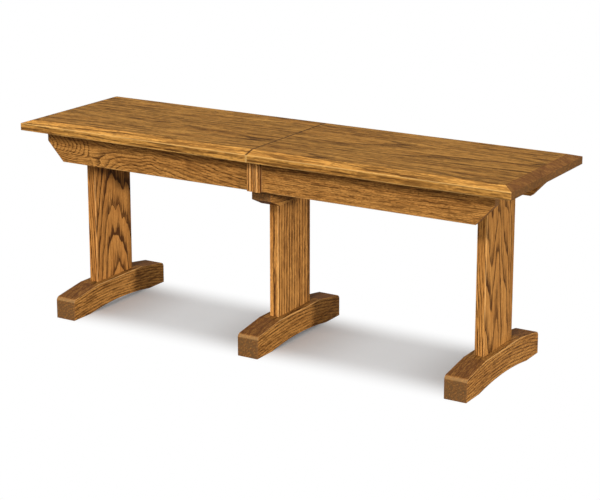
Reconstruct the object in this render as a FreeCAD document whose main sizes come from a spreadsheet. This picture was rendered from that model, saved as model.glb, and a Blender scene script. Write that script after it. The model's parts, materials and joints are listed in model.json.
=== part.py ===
import FreeCAD, Part
import Sketcher
import math
import os

# Extending monks bench in oak: two top halves on wooden slides over a centre trestle, with an end
# trestle under each half. Millimetres. X runs along the bench, Y from front to back, Z up. The
# origin is on the floor, midway between the feet, under the seam of the top.

Vector = FreeCAD.Vector
doc = FreeCAD.newDocument("MonksBench")
sizes = doc.addObject("Spreadsheet::Sheet", "Sizes")
places = doc.addObject("Spreadsheet::Sheet", "Places")
rows = {"Sizes": 0, "Places": 0}


def write_cell(sheet, alias, content, meaning):
    rows[sheet.Name] += 1
    row = rows[sheet.Name]
    sheet.set(f"A{row}", meaning)
    sheet.set(f"B{row}", content)
    sheet.setAlias(f"B{row}", alias)


def place(alias, formula, meaning):
    """A place or size that follows from the driving sizes."""
    write_cell(places, alias, "=" + formula, meaning)


LENGTHS = {
    # Top
    "bench_length": 1219.2,  # length of the closed top
    "bench_depth": 355.6,  # depth of the top
    "bench_height": 457.2,  # height of the seat
    "top_thickness": 24,  # thickness of the top boards
    "bevel_width": 25,  # width of the bevel round the top
    "bevel_drop": 7.5,  # fall of the bevel round the top
    "seam_gap": 0.5,  # gap between the closed halves
    "seam_ease": 0.5,  # eased edge at the seam
    "cut_over": 1,  # how far a cutting outline passes the surface that it cuts
    "top_round": 1.2,  # rounding of the outer edges of the top
    # Aprons and the reeded caps at the seam
    "apron_thickness": 19,  # thickness of the aprons
    "apron_height": 70,  # height of the aprons
    "apron_setback": 35,  # front of the top to the face of the apron
    "apron_end_setback": 49.5,  # end of the top to the end of the apron
    "apron_upright": 25,  # upright part of the apron's outer end
    "apron_cut_run": 42.5,  # length of the slanted cut at the apron's end
    "apron_round": 1.2,  # rounding of the apron's lower edges
    "cap_width": 16.2,  # width of one reeded cap
    "cap_proud": 8,  # cap in front of the apron's face
    "outer_reed_width": 4.1,  # width of the two narrow reeds
    "outer_reed_rise": 1.1,  # rise of the two narrow reeds
    "middle_reed_rise": 1.8,  # rise of the broad reed
    # Trestles
    "leg_setback": 111.6,  # end of the top to the middle of an end post
    "post_thickness": 22,  # thickness of the posts
    "post_width": 136,  # width of the posts
    "post_round": 1.5,  # rounding of the posts' long edges
    "tenon_thickness": 11,  # thickness of the posts' tenons
    "tenon_shoulder": 18,  # shoulder at each side of a tenon
    "tenon_length": 28,  # length of the tenons
    "tenon_play": 0.15,  # glue gap round a tenon
    "foot_length": 352,  # length of the feet
    "foot_width": 52,  # width of the feet
    "foot_height": 63,  # height of the feet at the post
    "foot_nose": 49.5,  # height of the feet at their ends
    "foot_flat": 87.5,  # middle of the foot to the start of its slope
    "nose_radius": 10,  # rounding of the foot's nose
    "foot_round": 1.8,  # rounding of the foot's long edges
    "foot_pad": 60,  # length of each flat that stands on the floor
    "foot_arch": 9,  # height of the arch under a foot
    "bolster_gap": 4.8,  # gap between the bolster and an apron
    "bolster_width": 47.6,  # width of the centre bolster
    "bolster_height": 52.5,  # height of the centre bolster
    "bolster_cut_run": 37,  # length of the slanted cut under the bolster's ends
    "bolster_cut_rise": 17,  # height of the slanted cut under the bolster's ends
    "cleat_thickness": 42,  # thickness of the end cleats
    "cleat_height": 45,  # height of the end cleats
    "cleat_play": 0.2,  # glue gap between an end cleat and an apron
    "cleat_ease": 5,  # bevel along the end cleat's lower edge
    # Slides
    "travel": 304.8,  # outward travel of each half
    "slide_room": 18.85,  # outer slide stick to the apron, room for the glue blocks
    "slide_gap": 0.6,  # gap between neighbouring slide sticks
    "stick_space": 60.2,  # underside of the top to the top of the bolster
    "slide_relief": 0.8,  # clearance above and below a passing stick
    "tongue_depth": 8,  # depth of a dovetail tongue
    "tongue_neck": 14,  # height of a tongue at its neck
    "tongue_tip": 19,  # height of a tongue at its tip
    "tongue_play": 0.5,  # running clearance round a tongue
    "guide_end_gap": 15,  # end cleat to the end of a guide stick
    "relief_start": 10,  # seam to the start of the relieved stick
    "peg_radius": 5,  # radius of the stop pegs
    "peg_drop": 14.5,  # length of a stop peg below its stick
    "peg_sunk": 20,  # length of a stop peg in its stick
    "peg_margin": 12,  # middle of a stop peg to the end of its stick
    "stop_gap": 0.3,  # gap at the stop pegs when fully open
    "fit_play": 0.1,  # clearance round a glued or driven pin
    "blind_gap": 0.3,  # gap at the blind end of a pin's hole
    "pin_chamfer": 1,  # bevel at the end of an axle, peg or rod
    # Rack and pinion
    "gear_module": 3,  # pitch diameter over the number of teeth
    "backlash": 0.35,  # play between meshing teeth
    "pinion_thickness": 13,  # thickness of the pinion
    "hub_radius": 11,  # radius of the pinion's raised hub
    "hub_rise": 1.5,  # rise of the pinion's hub
    "rack_body": 7,  # thickness of the rack behind its teeth
    "rack_teeth_height": 12,  # height of the rack's teeth
    "rack_height": 26,  # height of the rack's back strip
    "washer_thickness": 1.5,  # thickness of the pinion's washer
    "washer_radius": 10,  # radius of the pinion's washer
    "axle_radius": 4,  # radius of the pinion's axle
    "axle_sunk": 22,  # length of the axle in the bolster
    "axle_head_radius": 7.5,  # radius of the axle's head
    "axle_head_height": 3,  # height of the axle's head
    "axle_crown": 5.2,  # radius of the flat on the axle's head
    "running_play": 0.08,  # clearance round the axle
    "thrust_play": 0.3,  # clearance above and below the pinion
    # Seam pins, blocks and lock
    "pin_radius": 4,  # radius of the seam pins
    "pin_spacing": 115,  # distance between the seam pins
    "pin_sunk": 18,  # length of a seam pin in the left half
    "pin_reach": 12,  # length of a seam pin in the right half
    "pin_play": 0.35,  # clearance round a seam pin in the right half
    "pin_end_room": 1,  # room beyond a seam pin in the right half
    "pin_raise": 1,  # seam pins above the middle of the top's upright edge
    "pin_taper": 2,  # length of the taper at a seam pin's end
    "pin_taper_fall": 1.5,  # fall of the taper at a seam pin's end
    "block_length": 60,  # length of a glue block
    "block_leg": 16,  # height and depth of a glue block
    "block_nose": 3,  # blunt edge of a glue block
    "block_first": 90,  # seam to the middle of the first glue block
    "block_margin": 45,  # end cleat to the last glue block
    "lock_plate_thickness": 2.5,  # thickness of the lock's plates
    "lock_plate_width": 26,  # width of the lock's plates
    "lock_plate_length": 64,  # length of the lock's plate
    "lock_edge": 10,  # seam to the edge of either plate
    "lock_eye_length": 8,  # length of the eyes that hold the bolt
    "lock_eye_width": 15,  # width of the eyes that hold the bolt
    "lock_eye_height": 12,  # height of the eyes that hold the bolt
    "lock_eye_bevel": 3,  # bevel at the foot of an eye
    "lock_eye_root": 0.5,  # depth of an eye in its plate
    "lock_screw_inset": 4,  # side of a lock's plate to its screws
    "lock_screw_reach": 7,  # eye or end of a plate to its screws
    "keeper_length": 26,  # length of the keeper's plate
    "bolt_radius": 4,  # radius of the sliding bolt
    "bolt_play": 0.3,  # clearance round the sliding bolt
    "bolt_throw": 26,  # travel of the sliding bolt
    "bolt_end_gap": 3,  # seam side of the withdrawn bolt to its eye's face
    "bolt_nose": 1.5,  # bevel at the front of the sliding bolt
    "knob_radius": 4.5,  # radius of the bolt's knob
    "knob_drop": 15,  # length of the bolt's knob below the bolt
    "knob_gap": 3,  # gap between the knob and the eye beside it
    "knob_neck": 3,  # length of the knob's neck
    "knob_shoulder": 2,  # rise of the knob's shoulder
    "knob_round": 1.5,  # bevel at the foot of the knob
    # Screws
    "screw_radius": 2.4,  # shank radius of the wood screws
    "screw_head_radius": 4.6,  # head radius of the wood screws
    "screw_head_height": 3,  # head height of the wood screws
    "screw_bite": 14,  # length of a screw in the top
    "screw_room": 0.5,  # room beyond the end of a screw
    "bore_play": 0.5,  # clearance round a screw head in its counterbore
    "stick_bore_depth": 28,  # depth of the counterbore in a stick
    "stick_screw_first": 60,  # seam to the first stick screw
    "stick_screw_margin": 55,  # end cleat to the last stick screw
    "cleat_screw_margin": 23.8,  # apron to the end cleat's outer upright screws
    "cleat_bore_depth": 14,  # depth of the counterbore in an end cleat
    "post_screw_spacing": 90,  # distance between the screws into an end post
    "post_screw_bite": 16,  # length of a screw in an end post
    "post_head_sunk": 0.4,  # post screw heads below the face of the cleat
    "foot_screw_radius": 3.5,  # shank radius of the foot screws
    "foot_screw_head": 7,  # head radius of the foot screws
    "foot_head_height": 4.2,  # head height of the foot screws
    "foot_screw_spacing": 60,  # distance between the two foot screws
    "foot_bore_depth": 8,  # depth of the counterbore above the arch
    "foot_screw_bite": 22,  # length of a foot screw in the post
    "guide_screw_spacing": 26,  # distance between the guide screws along the bench
    "guide_bore_depth": 30,  # depth of the counterbore in the bolster
    "guide_screw_bite": 14,  # length of a screw in a guide stick
    "rack_screw_first": 20,  # middle of the bench to the first rack screw
    "rack_screw_margin": 30,  # end of the rack to its last screw
    "rack_screw_bite": 12,  # length of a screw behind the rack
    "small_screw_radius": 1.5,  # shank radius of the small screws
    "small_screw_head": 3,  # head radius of the small screws
    "small_head_height": 1.5,  # head height of the small screws
    "small_screw_bite": 9,  # length of a small screw in the wood
    "small_screw_point": 2,  # length of a small screw's point
}
COUNTS = {
    "stick_screws": 3,  # screws of a slide stick
    "cleat_screws": 3,  # upright screws of an end cleat
    "rack_screws": 3,  # screws of a rack
    "seam_pins": 3,  # pins in the seam
    "glue_blocks": 3,  # glue blocks behind an apron
    "pinion_teeth": 14,  # even, so that the pinion meshes with both racks
    "rack_lead_teeth": 3,  # teeth of a rack before the middle of the bench
    "rack_tail_teeth": 2,  # teeth of a rack beyond its travel
}
ANGLES = {
    "pressure_angle": 25,  # angle of the tooth flanks
}
SHARES = {
    "root_share": 1.25,  # depth of a tooth's root below the pitch line, over the module
    "screw_point_share": 1.5,  # length of a wood screw's point, over its shank radius
    "screw_rim_share": 0.33,  # height of the rim of a sunk head, over the head's height
    "crown_share": 0.6,  # radius of the flat on a raised head, over the head's radius
    "crown_rise_share": 0.5,  # height of the crown of a raised head, over the head's height
}
for group in (LENGTHS, COUNTS, ANGLES, SHARES):
    for alias, number in group.items():
        write_cell(sizes, alias, str(number), alias.replace("_", " "))

# Levels
place("half_length", "Sizes.bench_length / 2", "middle to the end of the top")
place("half_depth", "Sizes.bench_depth / 2", "middle to the front of the top")
place("underside", "Sizes.bench_height - Sizes.top_thickness", "underside of the top")
place("bevel_level", "Sizes.bench_height - Sizes.bevel_drop", "lower edge of the bevel")
place("seam_side", "Sizes.seam_gap / 2", "middle to the closed half")
place("bolster_top", "Places.underside - Sizes.stick_space", "top of the bolster")
place("bolster_low", "Places.bolster_top - Sizes.bolster_height", "underside of the bolster")

# Aprons
place("apron_face", "Places.half_depth - Sizes.apron_setback", "middle to the apron's outer face")
place("apron_back", "Places.apron_face - Sizes.apron_thickness", "middle to the apron's inner face")
place("apron_low", "Places.underside - Sizes.apron_height", "lower edge of the aprons")
place("apron_end", "Places.half_length - Sizes.apron_end_setback", "middle to the apron's end")
place("cap_side", "Places.seam_side + Sizes.cap_width", "middle to the apron's inner end")
place("cap_face", "Places.apron_face + Sizes.cap_proud", "middle to the crest of a cap")
place("reed_root", "Places.cap_face - Sizes.middle_reed_rise", "middle to the root of the reeds")

# Trestles
place("half_post", "Sizes.post_thickness / 2", "half the post's thickness")
place("half_post_width", "Sizes.post_width / 2", "half the post's width")
place("half_tenon", "Sizes.tenon_thickness / 2", "half the tenon's thickness")
place("half_tenon_width", "Places.half_post_width - Sizes.tenon_shoulder", "half the tenon's width")
place("half_foot", "Sizes.foot_length / 2", "half the foot's length")
place("half_bolster", "Places.apron_back - Sizes.bolster_gap", "half the bolster's length")
place("half_bolster_width", "Sizes.bolster_width / 2", "half the bolster's width")
place("arch_reach", "Places.half_foot - Sizes.foot_pad", "middle of the foot to its flat")
place("arch_radius", "(Places.arch_reach ^ 2 + Sizes.foot_arch ^ 2) / (2 * Sizes.foot_arch)",
      "radius of the arch under a foot")
place("leg_place", "Places.half_length - Sizes.leg_setback", "middle of the bench to an end post")
place("cleat_outer", "Places.leg_place - Places.half_post", "middle to the inside of an end post")
place("cleat_inner", "Places.cleat_outer - Sizes.cleat_thickness", "middle to the end cleat")
place("cleat_low", "Places.underside - Sizes.cleat_height", "underside of the end cleats")
place("cleat_screw_spacing", "2 * (Places.apron_back - Sizes.cleat_screw_margin) / (Sizes.cleat_screws - 1)",
      "distance between the end cleat's upright screws")

# Slides, counted from the middle of the bench to the front and the back
place("pitch_radius", "Sizes.gear_module * Sizes.pinion_teeth / 2", "pitch radius of the pinion")
place("rack_root", "Places.pitch_radius + Sizes.root_share * Sizes.gear_module", "root of the rack's teeth")
place("rack_tip", "Places.pitch_radius - Sizes.gear_module", "tips of the rack's teeth")
place("inner_near", "Places.rack_root + Sizes.rack_body", "inner stick, side of the rack")
place("outer_far", "Places.apron_back - Sizes.slide_room", "outer stick, side of the apron")
place("stick_width", "(Places.outer_far - Places.inner_near - 2 * Sizes.slide_gap) / 3",
      "width of a slide stick, one of three side by side")
place("inner_far", "Places.inner_near + Places.stick_width", "inner stick, side of the guide")
place("guide_near", "Places.inner_far + Sizes.slide_gap", "guide stick, inner side")
place("guide_far", "Places.guide_near + Places.stick_width", "guide stick, outer side")
place("outer_near", "Places.guide_far + Sizes.slide_gap", "outer stick, side of the guide")
place("stick_low", "Places.bolster_top + Sizes.slide_relief", "underside of the passing sticks")
place("relief_level", "Places.underside - Sizes.slide_relief", "top of the relieved sticks")
place("tongue_level", "(Places.stick_low + Places.relief_level) / 2", "middle of the tongues")
place("peg_place", "Sizes.travel + Places.half_bolster_width + Sizes.stop_gap + Sizes.peg_radius",
      "middle to a stop peg of the closed bench")
place("stick_end", "Places.peg_place + Sizes.peg_margin", "middle to the free end of a stick")
place("stick_screw_pitch",
      "(Places.cleat_inner - Sizes.stick_screw_margin - Sizes.stick_screw_first) / (Sizes.stick_screws - 1)",
      "distance between the stick screws")
place("block_pitch",
      "(Places.cleat_inner - Sizes.block_margin - Sizes.block_length / 2 - Sizes.block_first)"
      " / (Sizes.glue_blocks - 1)", "distance between the glue blocks")
place("inner_middle", "(Places.inner_near + Places.inner_far) / 2", "middle of an inner stick")
place("guide_middle", "(Places.guide_near + Places.guide_far) / 2", "middle of a guide stick")
place("outer_middle", "(Places.outer_near + Places.outer_far) / 2", "middle of an outer stick")

# Rack and pinion
place("rack_pitch", "pi * Sizes.gear_module", "distance between the rack's teeth")
place("rack_count",
      "Sizes.rack_lead_teeth + ceil(Sizes.travel / Places.rack_pitch) + Sizes.rack_tail_teeth",
      "teeth of a rack")
place("rack_start", "-Sizes.rack_lead_teeth * Places.rack_pitch", "start of a rack")
place("rack_first", "Places.rack_start + Places.rack_pitch / 2", "middle of the first tooth of a rack")
place("rack_end", "Places.rack_start + Places.rack_count * Places.rack_pitch", "end of a rack")
place("rack_screw_pitch",
      "(Places.rack_end - Sizes.rack_screw_margin - Sizes.rack_screw_first) / (Sizes.rack_screws - 1)",
      "distance between the rack screws")
place("pinion_low", "Places.bolster_top + Sizes.washer_thickness + Sizes.thrust_play",
      "underside of the pinion")
place("pinion_top", "Places.pinion_low + Sizes.pinion_thickness", "top of the pinion's teeth")
place("rack_low", "(Places.pinion_low + Places.pinion_top - Sizes.rack_teeth_height) / 2",
      "underside of a rack")
place("head_low", "Places.pinion_top + Sizes.hub_rise + Sizes.thrust_play", "underside of the axle's head")
place("rack_screw_level", "Places.rack_low + (Sizes.rack_height + Sizes.rack_teeth_height) / 2",
      "level of the rack's screws")

# Seam pins and lock
place("pin_level", "Places.underside + Places.edge_height / 2 + Sizes.pin_raise", "middle of the seam pins")
place("edge_height", "Sizes.top_thickness - Sizes.bevel_drop", "height of the top's upright edge")
place("lock_start", "Sizes.lock_edge + Sizes.lock_plate_length", "middle to the far end of the lock's plate")
place("plate_low", "Places.underside - Sizes.lock_plate_thickness", "underside of the lock's plates")
place("bolt_level", "Places.plate_low - Sizes.lock_eye_height / 2", "middle of the sliding bolt")
place("bolt_front", "Sizes.lock_edge - Sizes.bolt_end_gap", "middle to the withdrawn bolt's end")
place("bolt_back", "Places.lock_start + Sizes.bolt_throw + Sizes.bolt_end_gap",
      "middle to the withdrawn bolt's tail")
place("knob_place", "Places.lock_start - Sizes.lock_eye_length - Sizes.knob_radius - Sizes.knob_gap",
      "middle to the withdrawn bolt's knob")
doc.recompute()


def value(formula):
    """The number that a formula on the sheets gives now."""
    return float(places.evalExpression(formula))


def origin_part(body, role):
    return next(item for item in body.Origin.OriginFeatures if item.Role == role)


def new_body(node):
    body = doc.addObject("PartDesign::Body", node)
    body.Label = node
    return body


def new_sketch(body, name, role, lift):
    """A sketch on one of the body's origin planes, lifted along the plane's normal."""
    sketch = body.newObject("Sketcher::SketchObject", name)
    sketch.AttachmentSupport = [(origin_part(body, role), "")]
    sketch.MapMode = "FlatFace"
    sketch.setExpression("AttachmentOffset.Base.z", lift)
    return sketch


def bind(sketch, constraint, formula):
    index = sketch.addConstraint(constraint)
    sketch.setExpression(f"Constraints[{index}]", formula)


def outline(body, name, role, lift, points, arcs=None):
    """A closed outline. arcs maps the number of a side to a point on it and its radius."""
    arcs = arcs or {}
    sketch = new_sketch(body, name, role, lift)
    corners = [Vector(value(across), value(along), 0) for across, along in points]
    starts = []
    for side, start in enumerate(corners):
        end = corners[(side + 1) % len(corners)]
        if side in arcs:
            across, along, radius = arcs[side]
            middle = Vector(value(across), value(along), 0)
            sketch.addGeometry(Part.Arc(start, middle, end), False)
            bind(sketch, Sketcher.Constraint("Radius", side, value(radius)), radius)
        else:
            sketch.addGeometry(Part.LineSegment(start, end), False)
        forward = sketch.getPoint(side, 1).distanceToPoint(start) < 1e-6
        starts.append(1 if forward else 2)
    for side, (across, along) in enumerate(points):
        following = (side + 1) % len(points)
        sketch.addConstraint(Sketcher.Constraint("Coincident", side, 3 - starts[side],
                                                 following, starts[following]))
        at = corners[side]
        bind(sketch, Sketcher.Constraint("DistanceX", side, starts[side], at.x), across)
        bind(sketch, Sketcher.Constraint("DistanceY", side, starts[side], at.y), along)
    return sketch


def rectangle(body, name, role, lift, low_across, high_across, low_along, high_along):
    points = [(low_across, low_along), (high_across, low_along),
              (high_across, high_along), (low_across, high_along)]
    return outline(body, name, role, lift, points)


def circles(body, name, role, lift, centres, radius):
    sketch = new_sketch(body, name, role, lift)
    for number, (across, along) in enumerate(centres):
        centre = Vector(value(across), value(along), 0)
        sketch.addGeometry(Part.Circle(centre, Vector(0, 0, 1), value(radius)), False)
        bind(sketch, Sketcher.Constraint("Radius", number, value(radius)), radius)
        bind(sketch, Sketcher.Constraint("DistanceX", number, 3, centre.x), across)
        bind(sketch, Sketcher.Constraint("DistanceY", number, 3, centre.y), along)
    return sketch


def extrude(body, kind, sketch, length, backwards=False, both_sides=False):
    feature = body.newObject("PartDesign::" + kind, sketch.Name + kind)
    feature.Profile = sketch
    feature.setExpression("Length", length)
    feature.Reversed = backwards
    if both_sides:
        feature.SideType = "Symmetric"
    doc.recompute()
    return feature


def pad(body, sketch, length, **options):
    return extrude(body, "Pad", sketch, length, **options)


def pocket(body, sketch, length, **options):
    """Cuts against the sketch's normal, or along it when backwards is set."""
    before = body.Shape.Volume
    feature = extrude(body, "Pocket", sketch, length, **options)
    if body.Shape.Volume > before - 1e-3:
        raise RuntimeError(f"{feature.Name} cuts nothing")
    return feature


def edges_where(body, test):
    """Names of the body's edges for which the test on their two ends holds."""
    names = []
    for number, edge in enumerate(body.Shape.Edges, start=1):
        ends = [vertex.Point for vertex in edge.Vertexes]
        if len(ends) == 2 and test(ends[0], ends[1]):
            names.append(f"Edge{number}")
    return names


def dress(body, kind, name, names, dimension, formula):
    """Rounds or chamfers the named edges of the body's last feature."""
    if not names:
        raise RuntimeError(f"{name} finds no edge")
    feature = body.newObject("PartDesign::" + kind, name)
    feature.Base = (body.Tip if body.Tip != feature else feature.BaseFeature, names)
    feature.setExpression(dimension, formula)
    body.Tip = feature
    doc.recompute()
    if "Invalid" in feature.State:
        raise RuntimeError(f"{body.Label}: {name} fails")
    return feature


def near(first, second, room=1e-3):
    return abs(first - second) < room


def turn_to_right(body):
    """The right half is the left half turned half a turn about the middle of the bench."""
    body.Placement = FreeCAD.Placement(Vector(0, 0, 0), FreeCAD.Rotation(Vector(0, 0, 1), 180))


def set_side(body, side, station=None):
    """Puts a piece that is drawn for the left half on its side of the bench."""
    if side == "right":
        turn_to_right(body)
    if station:
        sign = {"left": "-", "right": "", "centre": "0 * "}[side]
        body.setExpression("Placement.Base.x", sign + station)


SIDES = ("left", "right")
LEGS = ("left", "centre", "right")
STICK_SCREWS = COUNTS["stick_screws"]
CLEAT_SCREWS = COUNTS["cleat_screws"]
RACK_SCREWS = COUNTS["rack_screws"]
SEAM_PINS = COUNTS["seam_pins"]
GLUE_BLOCKS = COUNTS["glue_blocks"]
nodes = []


def keep(body):
    nodes.append(body)
    return body


def stick_screw_spots():
    """Centres of the upright screws of the left half's two sticks."""
    rows_across = ["-Places.inner_middle", "Places.outer_middle"]
    along = [f"-(Sizes.stick_screw_first + {turn} * Places.stick_screw_pitch)"
             for turn in range(STICK_SCREWS)]
    return [[(place_along, row) for place_along in along] for row in rows_across]


def row_spots(fixed, spacing, count):
    """Centres of a row along Y that is centred on the middle of the bench."""
    return [(fixed, f"{turn - (count - 1) / 2} * {spacing}") for turn in range(count)]


CLEAT_MIDDLE = "-(Places.cleat_outer + Places.cleat_inner) / 2"


def make_top(side):
    """Board with a bevel round its three outer edges and holes for the pins and screws."""
    body = new_body(f"top_{side}")
    slab = rectangle(body, "Slab", "XY_Plane", "Places.underside", "-Places.half_length",
                     "-Places.seam_side", "-Places.half_depth", "Places.half_depth")
    pad(body, slab, "Places.edge_height")
    foot_of_bevel = rectangle(body, "BevelFoot", "XY_Plane", "Places.bevel_level", "-Places.half_length",
                              "-Places.seam_side", "-Places.half_depth", "Places.half_depth")
    head_of_bevel = rectangle(body, "BevelHead", "XY_Plane", "Sizes.bench_height",
                              "-Places.half_length + Sizes.bevel_width", "-Places.seam_side",
                              "-Places.half_depth + Sizes.bevel_width",
                              "Places.half_depth - Sizes.bevel_width")
    bevel = body.newObject("PartDesign::AdditiveLoft", "Bevel")
    bevel.Profile = foot_of_bevel
    bevel.Sections = [head_of_bevel]
    bevel.Ruled = True
    bevel.Refine = True
    doc.recompute()
    underside = value("Places.underside")
    level = value("Places.bevel_level")
    half_depth = value("Places.half_depth")
    half_length = value("Places.half_length")

    def on_rim(point):
        return near(abs(point.y), half_depth) or near(point.x, -half_length)

    def outer_edge(first, second):
        flat = near(first.z, second.z) and (near(first.z, underside) or near(first.z, level))
        same_side = near(first.x, second.x) or near(first.y, second.y)
        at_seam = first.x > -1 and second.x > -1
        return flat and same_side and on_rim(first) and on_rim(second) and not at_seam

    def outer_corner(first, second):
        upright = near(first.x, second.x) and near(first.y, second.y) and near(first.x, -half_length)
        return upright and min(first.z, second.z) > underside - 1 and max(first.z, second.z) < level + 1

    rims = edges_where(body, lambda a, b: outer_edge(a, b) or outer_corner(a, b))
    dress(body, "Fillet", "RimRound", rims, "Radius", "Sizes.top_round")
    ease = outline(body, "SeamEase", "XZ_Plane", "0",
                   [("-Places.seam_side - Sizes.seam_ease", "Sizes.bench_height"),
                    ("-Places.seam_side", "Sizes.bench_height - Sizes.seam_ease"),
                    ("-Places.seam_side + Sizes.cut_over", "Sizes.bench_height - Sizes.seam_ease"),
                    ("-Places.seam_side + Sizes.cut_over", "Sizes.bench_height + Sizes.cut_over"),
                    ("-Places.seam_side - Sizes.seam_ease", "Sizes.bench_height + Sizes.cut_over")])
    pocket(body, ease, "Sizes.bench_depth", both_sides=True)
    spots = [spot for row in stick_screw_spots() for spot in row]
    spots += row_spots(CLEAT_MIDDLE, "Places.cleat_screw_spacing", CLEAT_SCREWS)
    screw_holes = circles(body, "ScrewHoles", "XY_Plane", "Places.underside", spots,
                          "Sizes.screw_radius + Sizes.fit_play")
    pocket(body, screw_holes, "Sizes.screw_bite + Sizes.screw_room", backwards=True)
    small_spots = lock_screw_spots() if side == "left" else keeper_screw_spots("-")
    small_holes = circles(body, "SmallHoles", "XY_Plane", "Places.underside", small_spots,
                          "Sizes.small_screw_radius + Sizes.fit_play")
    pocket(body, small_holes, "Sizes.small_screw_bite + Sizes.screw_room", backwards=True)
    pin_room = "Sizes.fit_play" if side == "left" else "Sizes.pin_play"
    pin_depth = "Sizes.pin_sunk" if side == "left" else "Sizes.pin_reach + Sizes.pin_end_room"
    pin_spots = [(across, "Places.pin_level") for _, across in row_spots("0", "Sizes.pin_spacing", SEAM_PINS)]
    pin_holes = circles(body, "PinHoles", "YZ_Plane", "-Places.seam_side", pin_spots,
                        f"Sizes.pin_radius + {pin_room}")
    pocket(body, pin_holes, pin_depth)
    set_side(body, side)
    return keep(body)


def make_apron(side, face):
    """Apron board: upright at its outer end, then a slanted cut down to the lower edge."""
    body = new_body(f"apron_{face}_{side}")
    drawn_in_front = (face == "front") == (side == "left")
    lift = "Places.apron_back" if drawn_in_front else "-Places.apron_face"
    points = [("-Places.apron_end", "Places.underside"),
              ("-Places.apron_end", "Places.underside - Sizes.apron_upright"),
              ("-Places.apron_end + Sizes.apron_cut_run", "Places.apron_low"),
              ("-Places.cap_side", "Places.apron_low"),
              ("-Places.cap_side", "Places.underside")]
    pad(body, outline(body, "Board", "XZ_Plane", lift, points), "Sizes.apron_thickness")
    underside = value("Places.underside")
    cap_side = value("Places.cap_side")

    def lower_edge(first, second):
        lengthwise = near(first.y, second.y)
        at_joint = near(first.x, -cap_side) and near(second.x, -cap_side)
        at_top = near(first.z, underside) and near(second.z, underside)
        return lengthwise and not at_joint and not at_top

    dress(body, "Fillet", "EdgeRound", edges_where(body, lower_edge), "Radius", "Sizes.apron_round")
    set_side(body, side)
    return keep(body)


def arc_radius(chord, rise):
    """Formula for the radius of an arc of a given width and rise."""
    return f"(({chord} / 2) ^ 2 + {rise} ^ 2) / (2 * {rise})"


def make_cap(side, face):
    """Upright cap on the apron's inner end, with a broad reed between two narrow ones."""
    body = new_body(f"seam_cap_{face}_{side}")
    drawn_in_front = (face == "front") == (side == "left")
    out = "-" if drawn_in_front else ""
    first = "-Places.cap_side"
    second = "-Places.cap_side + Sizes.outer_reed_width"
    third = "-Places.seam_side - Sizes.outer_reed_width"
    last = "-Places.seam_side"
    root = f"{out}Places.reed_root"
    narrow = f"{out}(Places.reed_root + Sizes.outer_reed_rise)"
    broad = f"{out}Places.cap_face"
    middle_width = "(Sizes.cap_width - 2 * Sizes.outer_reed_width)"
    narrow_radius = arc_radius("Sizes.outer_reed_width", "Sizes.outer_reed_rise")
    broad_radius = arc_radius(middle_width, "Sizes.middle_reed_rise")
    points = [(first, root), (second, root), (third, root), (last, root),
              (last, f"{out}Places.apron_back"), (first, f"{out}Places.apron_back")]
    arcs = {0: (f"({first} + ({second})) / 2", narrow, narrow_radius),
            1: (f"({second} + ({third})) / 2", broad, broad_radius),
            2: (f"({third} + ({last})) / 2", narrow, narrow_radius)}
    pad(body, outline(body, "Reeds", "XY_Plane", "Places.apron_low", points, arcs), "Sizes.apron_height")
    set_side(body, side)
    return keep(body)


def make_post(side):
    """Straight post with a tenon into the foot and, in the middle, one into the bolster."""
    body = new_body(f"post_{side}")
    top = "Places.bolster_low" if side == "centre" else "Places.underside"
    section = rectangle(body, "Section", "XY_Plane", "Sizes.foot_height", "-Places.half_post",
                        "Places.half_post", "-Places.half_post_width", "Places.half_post_width")
    pad(body, section, f"{top} - Sizes.foot_height")
    upright = edges_where(body, lambda a, b: near(a.x, b.x) and near(a.y, b.y))
    dress(body, "Fillet", "EdgeRound", upright, "Radius", "Sizes.post_round")
    foot_tenon = rectangle(body, "FootTenon", "XY_Plane", "Sizes.foot_height", "-Places.half_tenon",
                           "Places.half_tenon", "-Places.half_tenon_width", "Places.half_tenon_width")
    pad(body, foot_tenon, "Sizes.tenon_length", backwards=True)
    foot_spots = row_spots("0", "Sizes.foot_screw_spacing", 2)
    tenon_end = "Sizes.foot_height - Sizes.tenon_length"
    foot_holes = circles(body, "FootScrewHoles", "XY_Plane", tenon_end, foot_spots,
                         "Sizes.foot_screw_radius + Sizes.fit_play")
    pocket(body, foot_holes, "Sizes.foot_screw_bite + Sizes.screw_room", backwards=True)
    if side == "centre":
        head_tenon = rectangle(body, "HeadTenon", "XY_Plane", top, "-Places.half_tenon",
                               "Places.half_tenon", "-Places.half_tenon_width", "Places.half_tenon_width")
        pad(body, head_tenon, "Sizes.tenon_length")
    else:
        spots = [(across, POST_SCREW_LEVEL)
                 for _, across in row_spots("0", "Sizes.post_screw_spacing", 2)]
        holes = circles(body, "CleatScrewHoles", "YZ_Plane", "Places.half_post", spots,
                        "Sizes.screw_radius + Sizes.fit_play")
        pocket(body, holes, "Sizes.post_screw_bite + Sizes.screw_room")
    set_side(body, side, "Places.leg_place")
    return keep(body)


POST_SCREW_LEVEL = "(Places.cleat_low + Places.underside) / 2"


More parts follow.
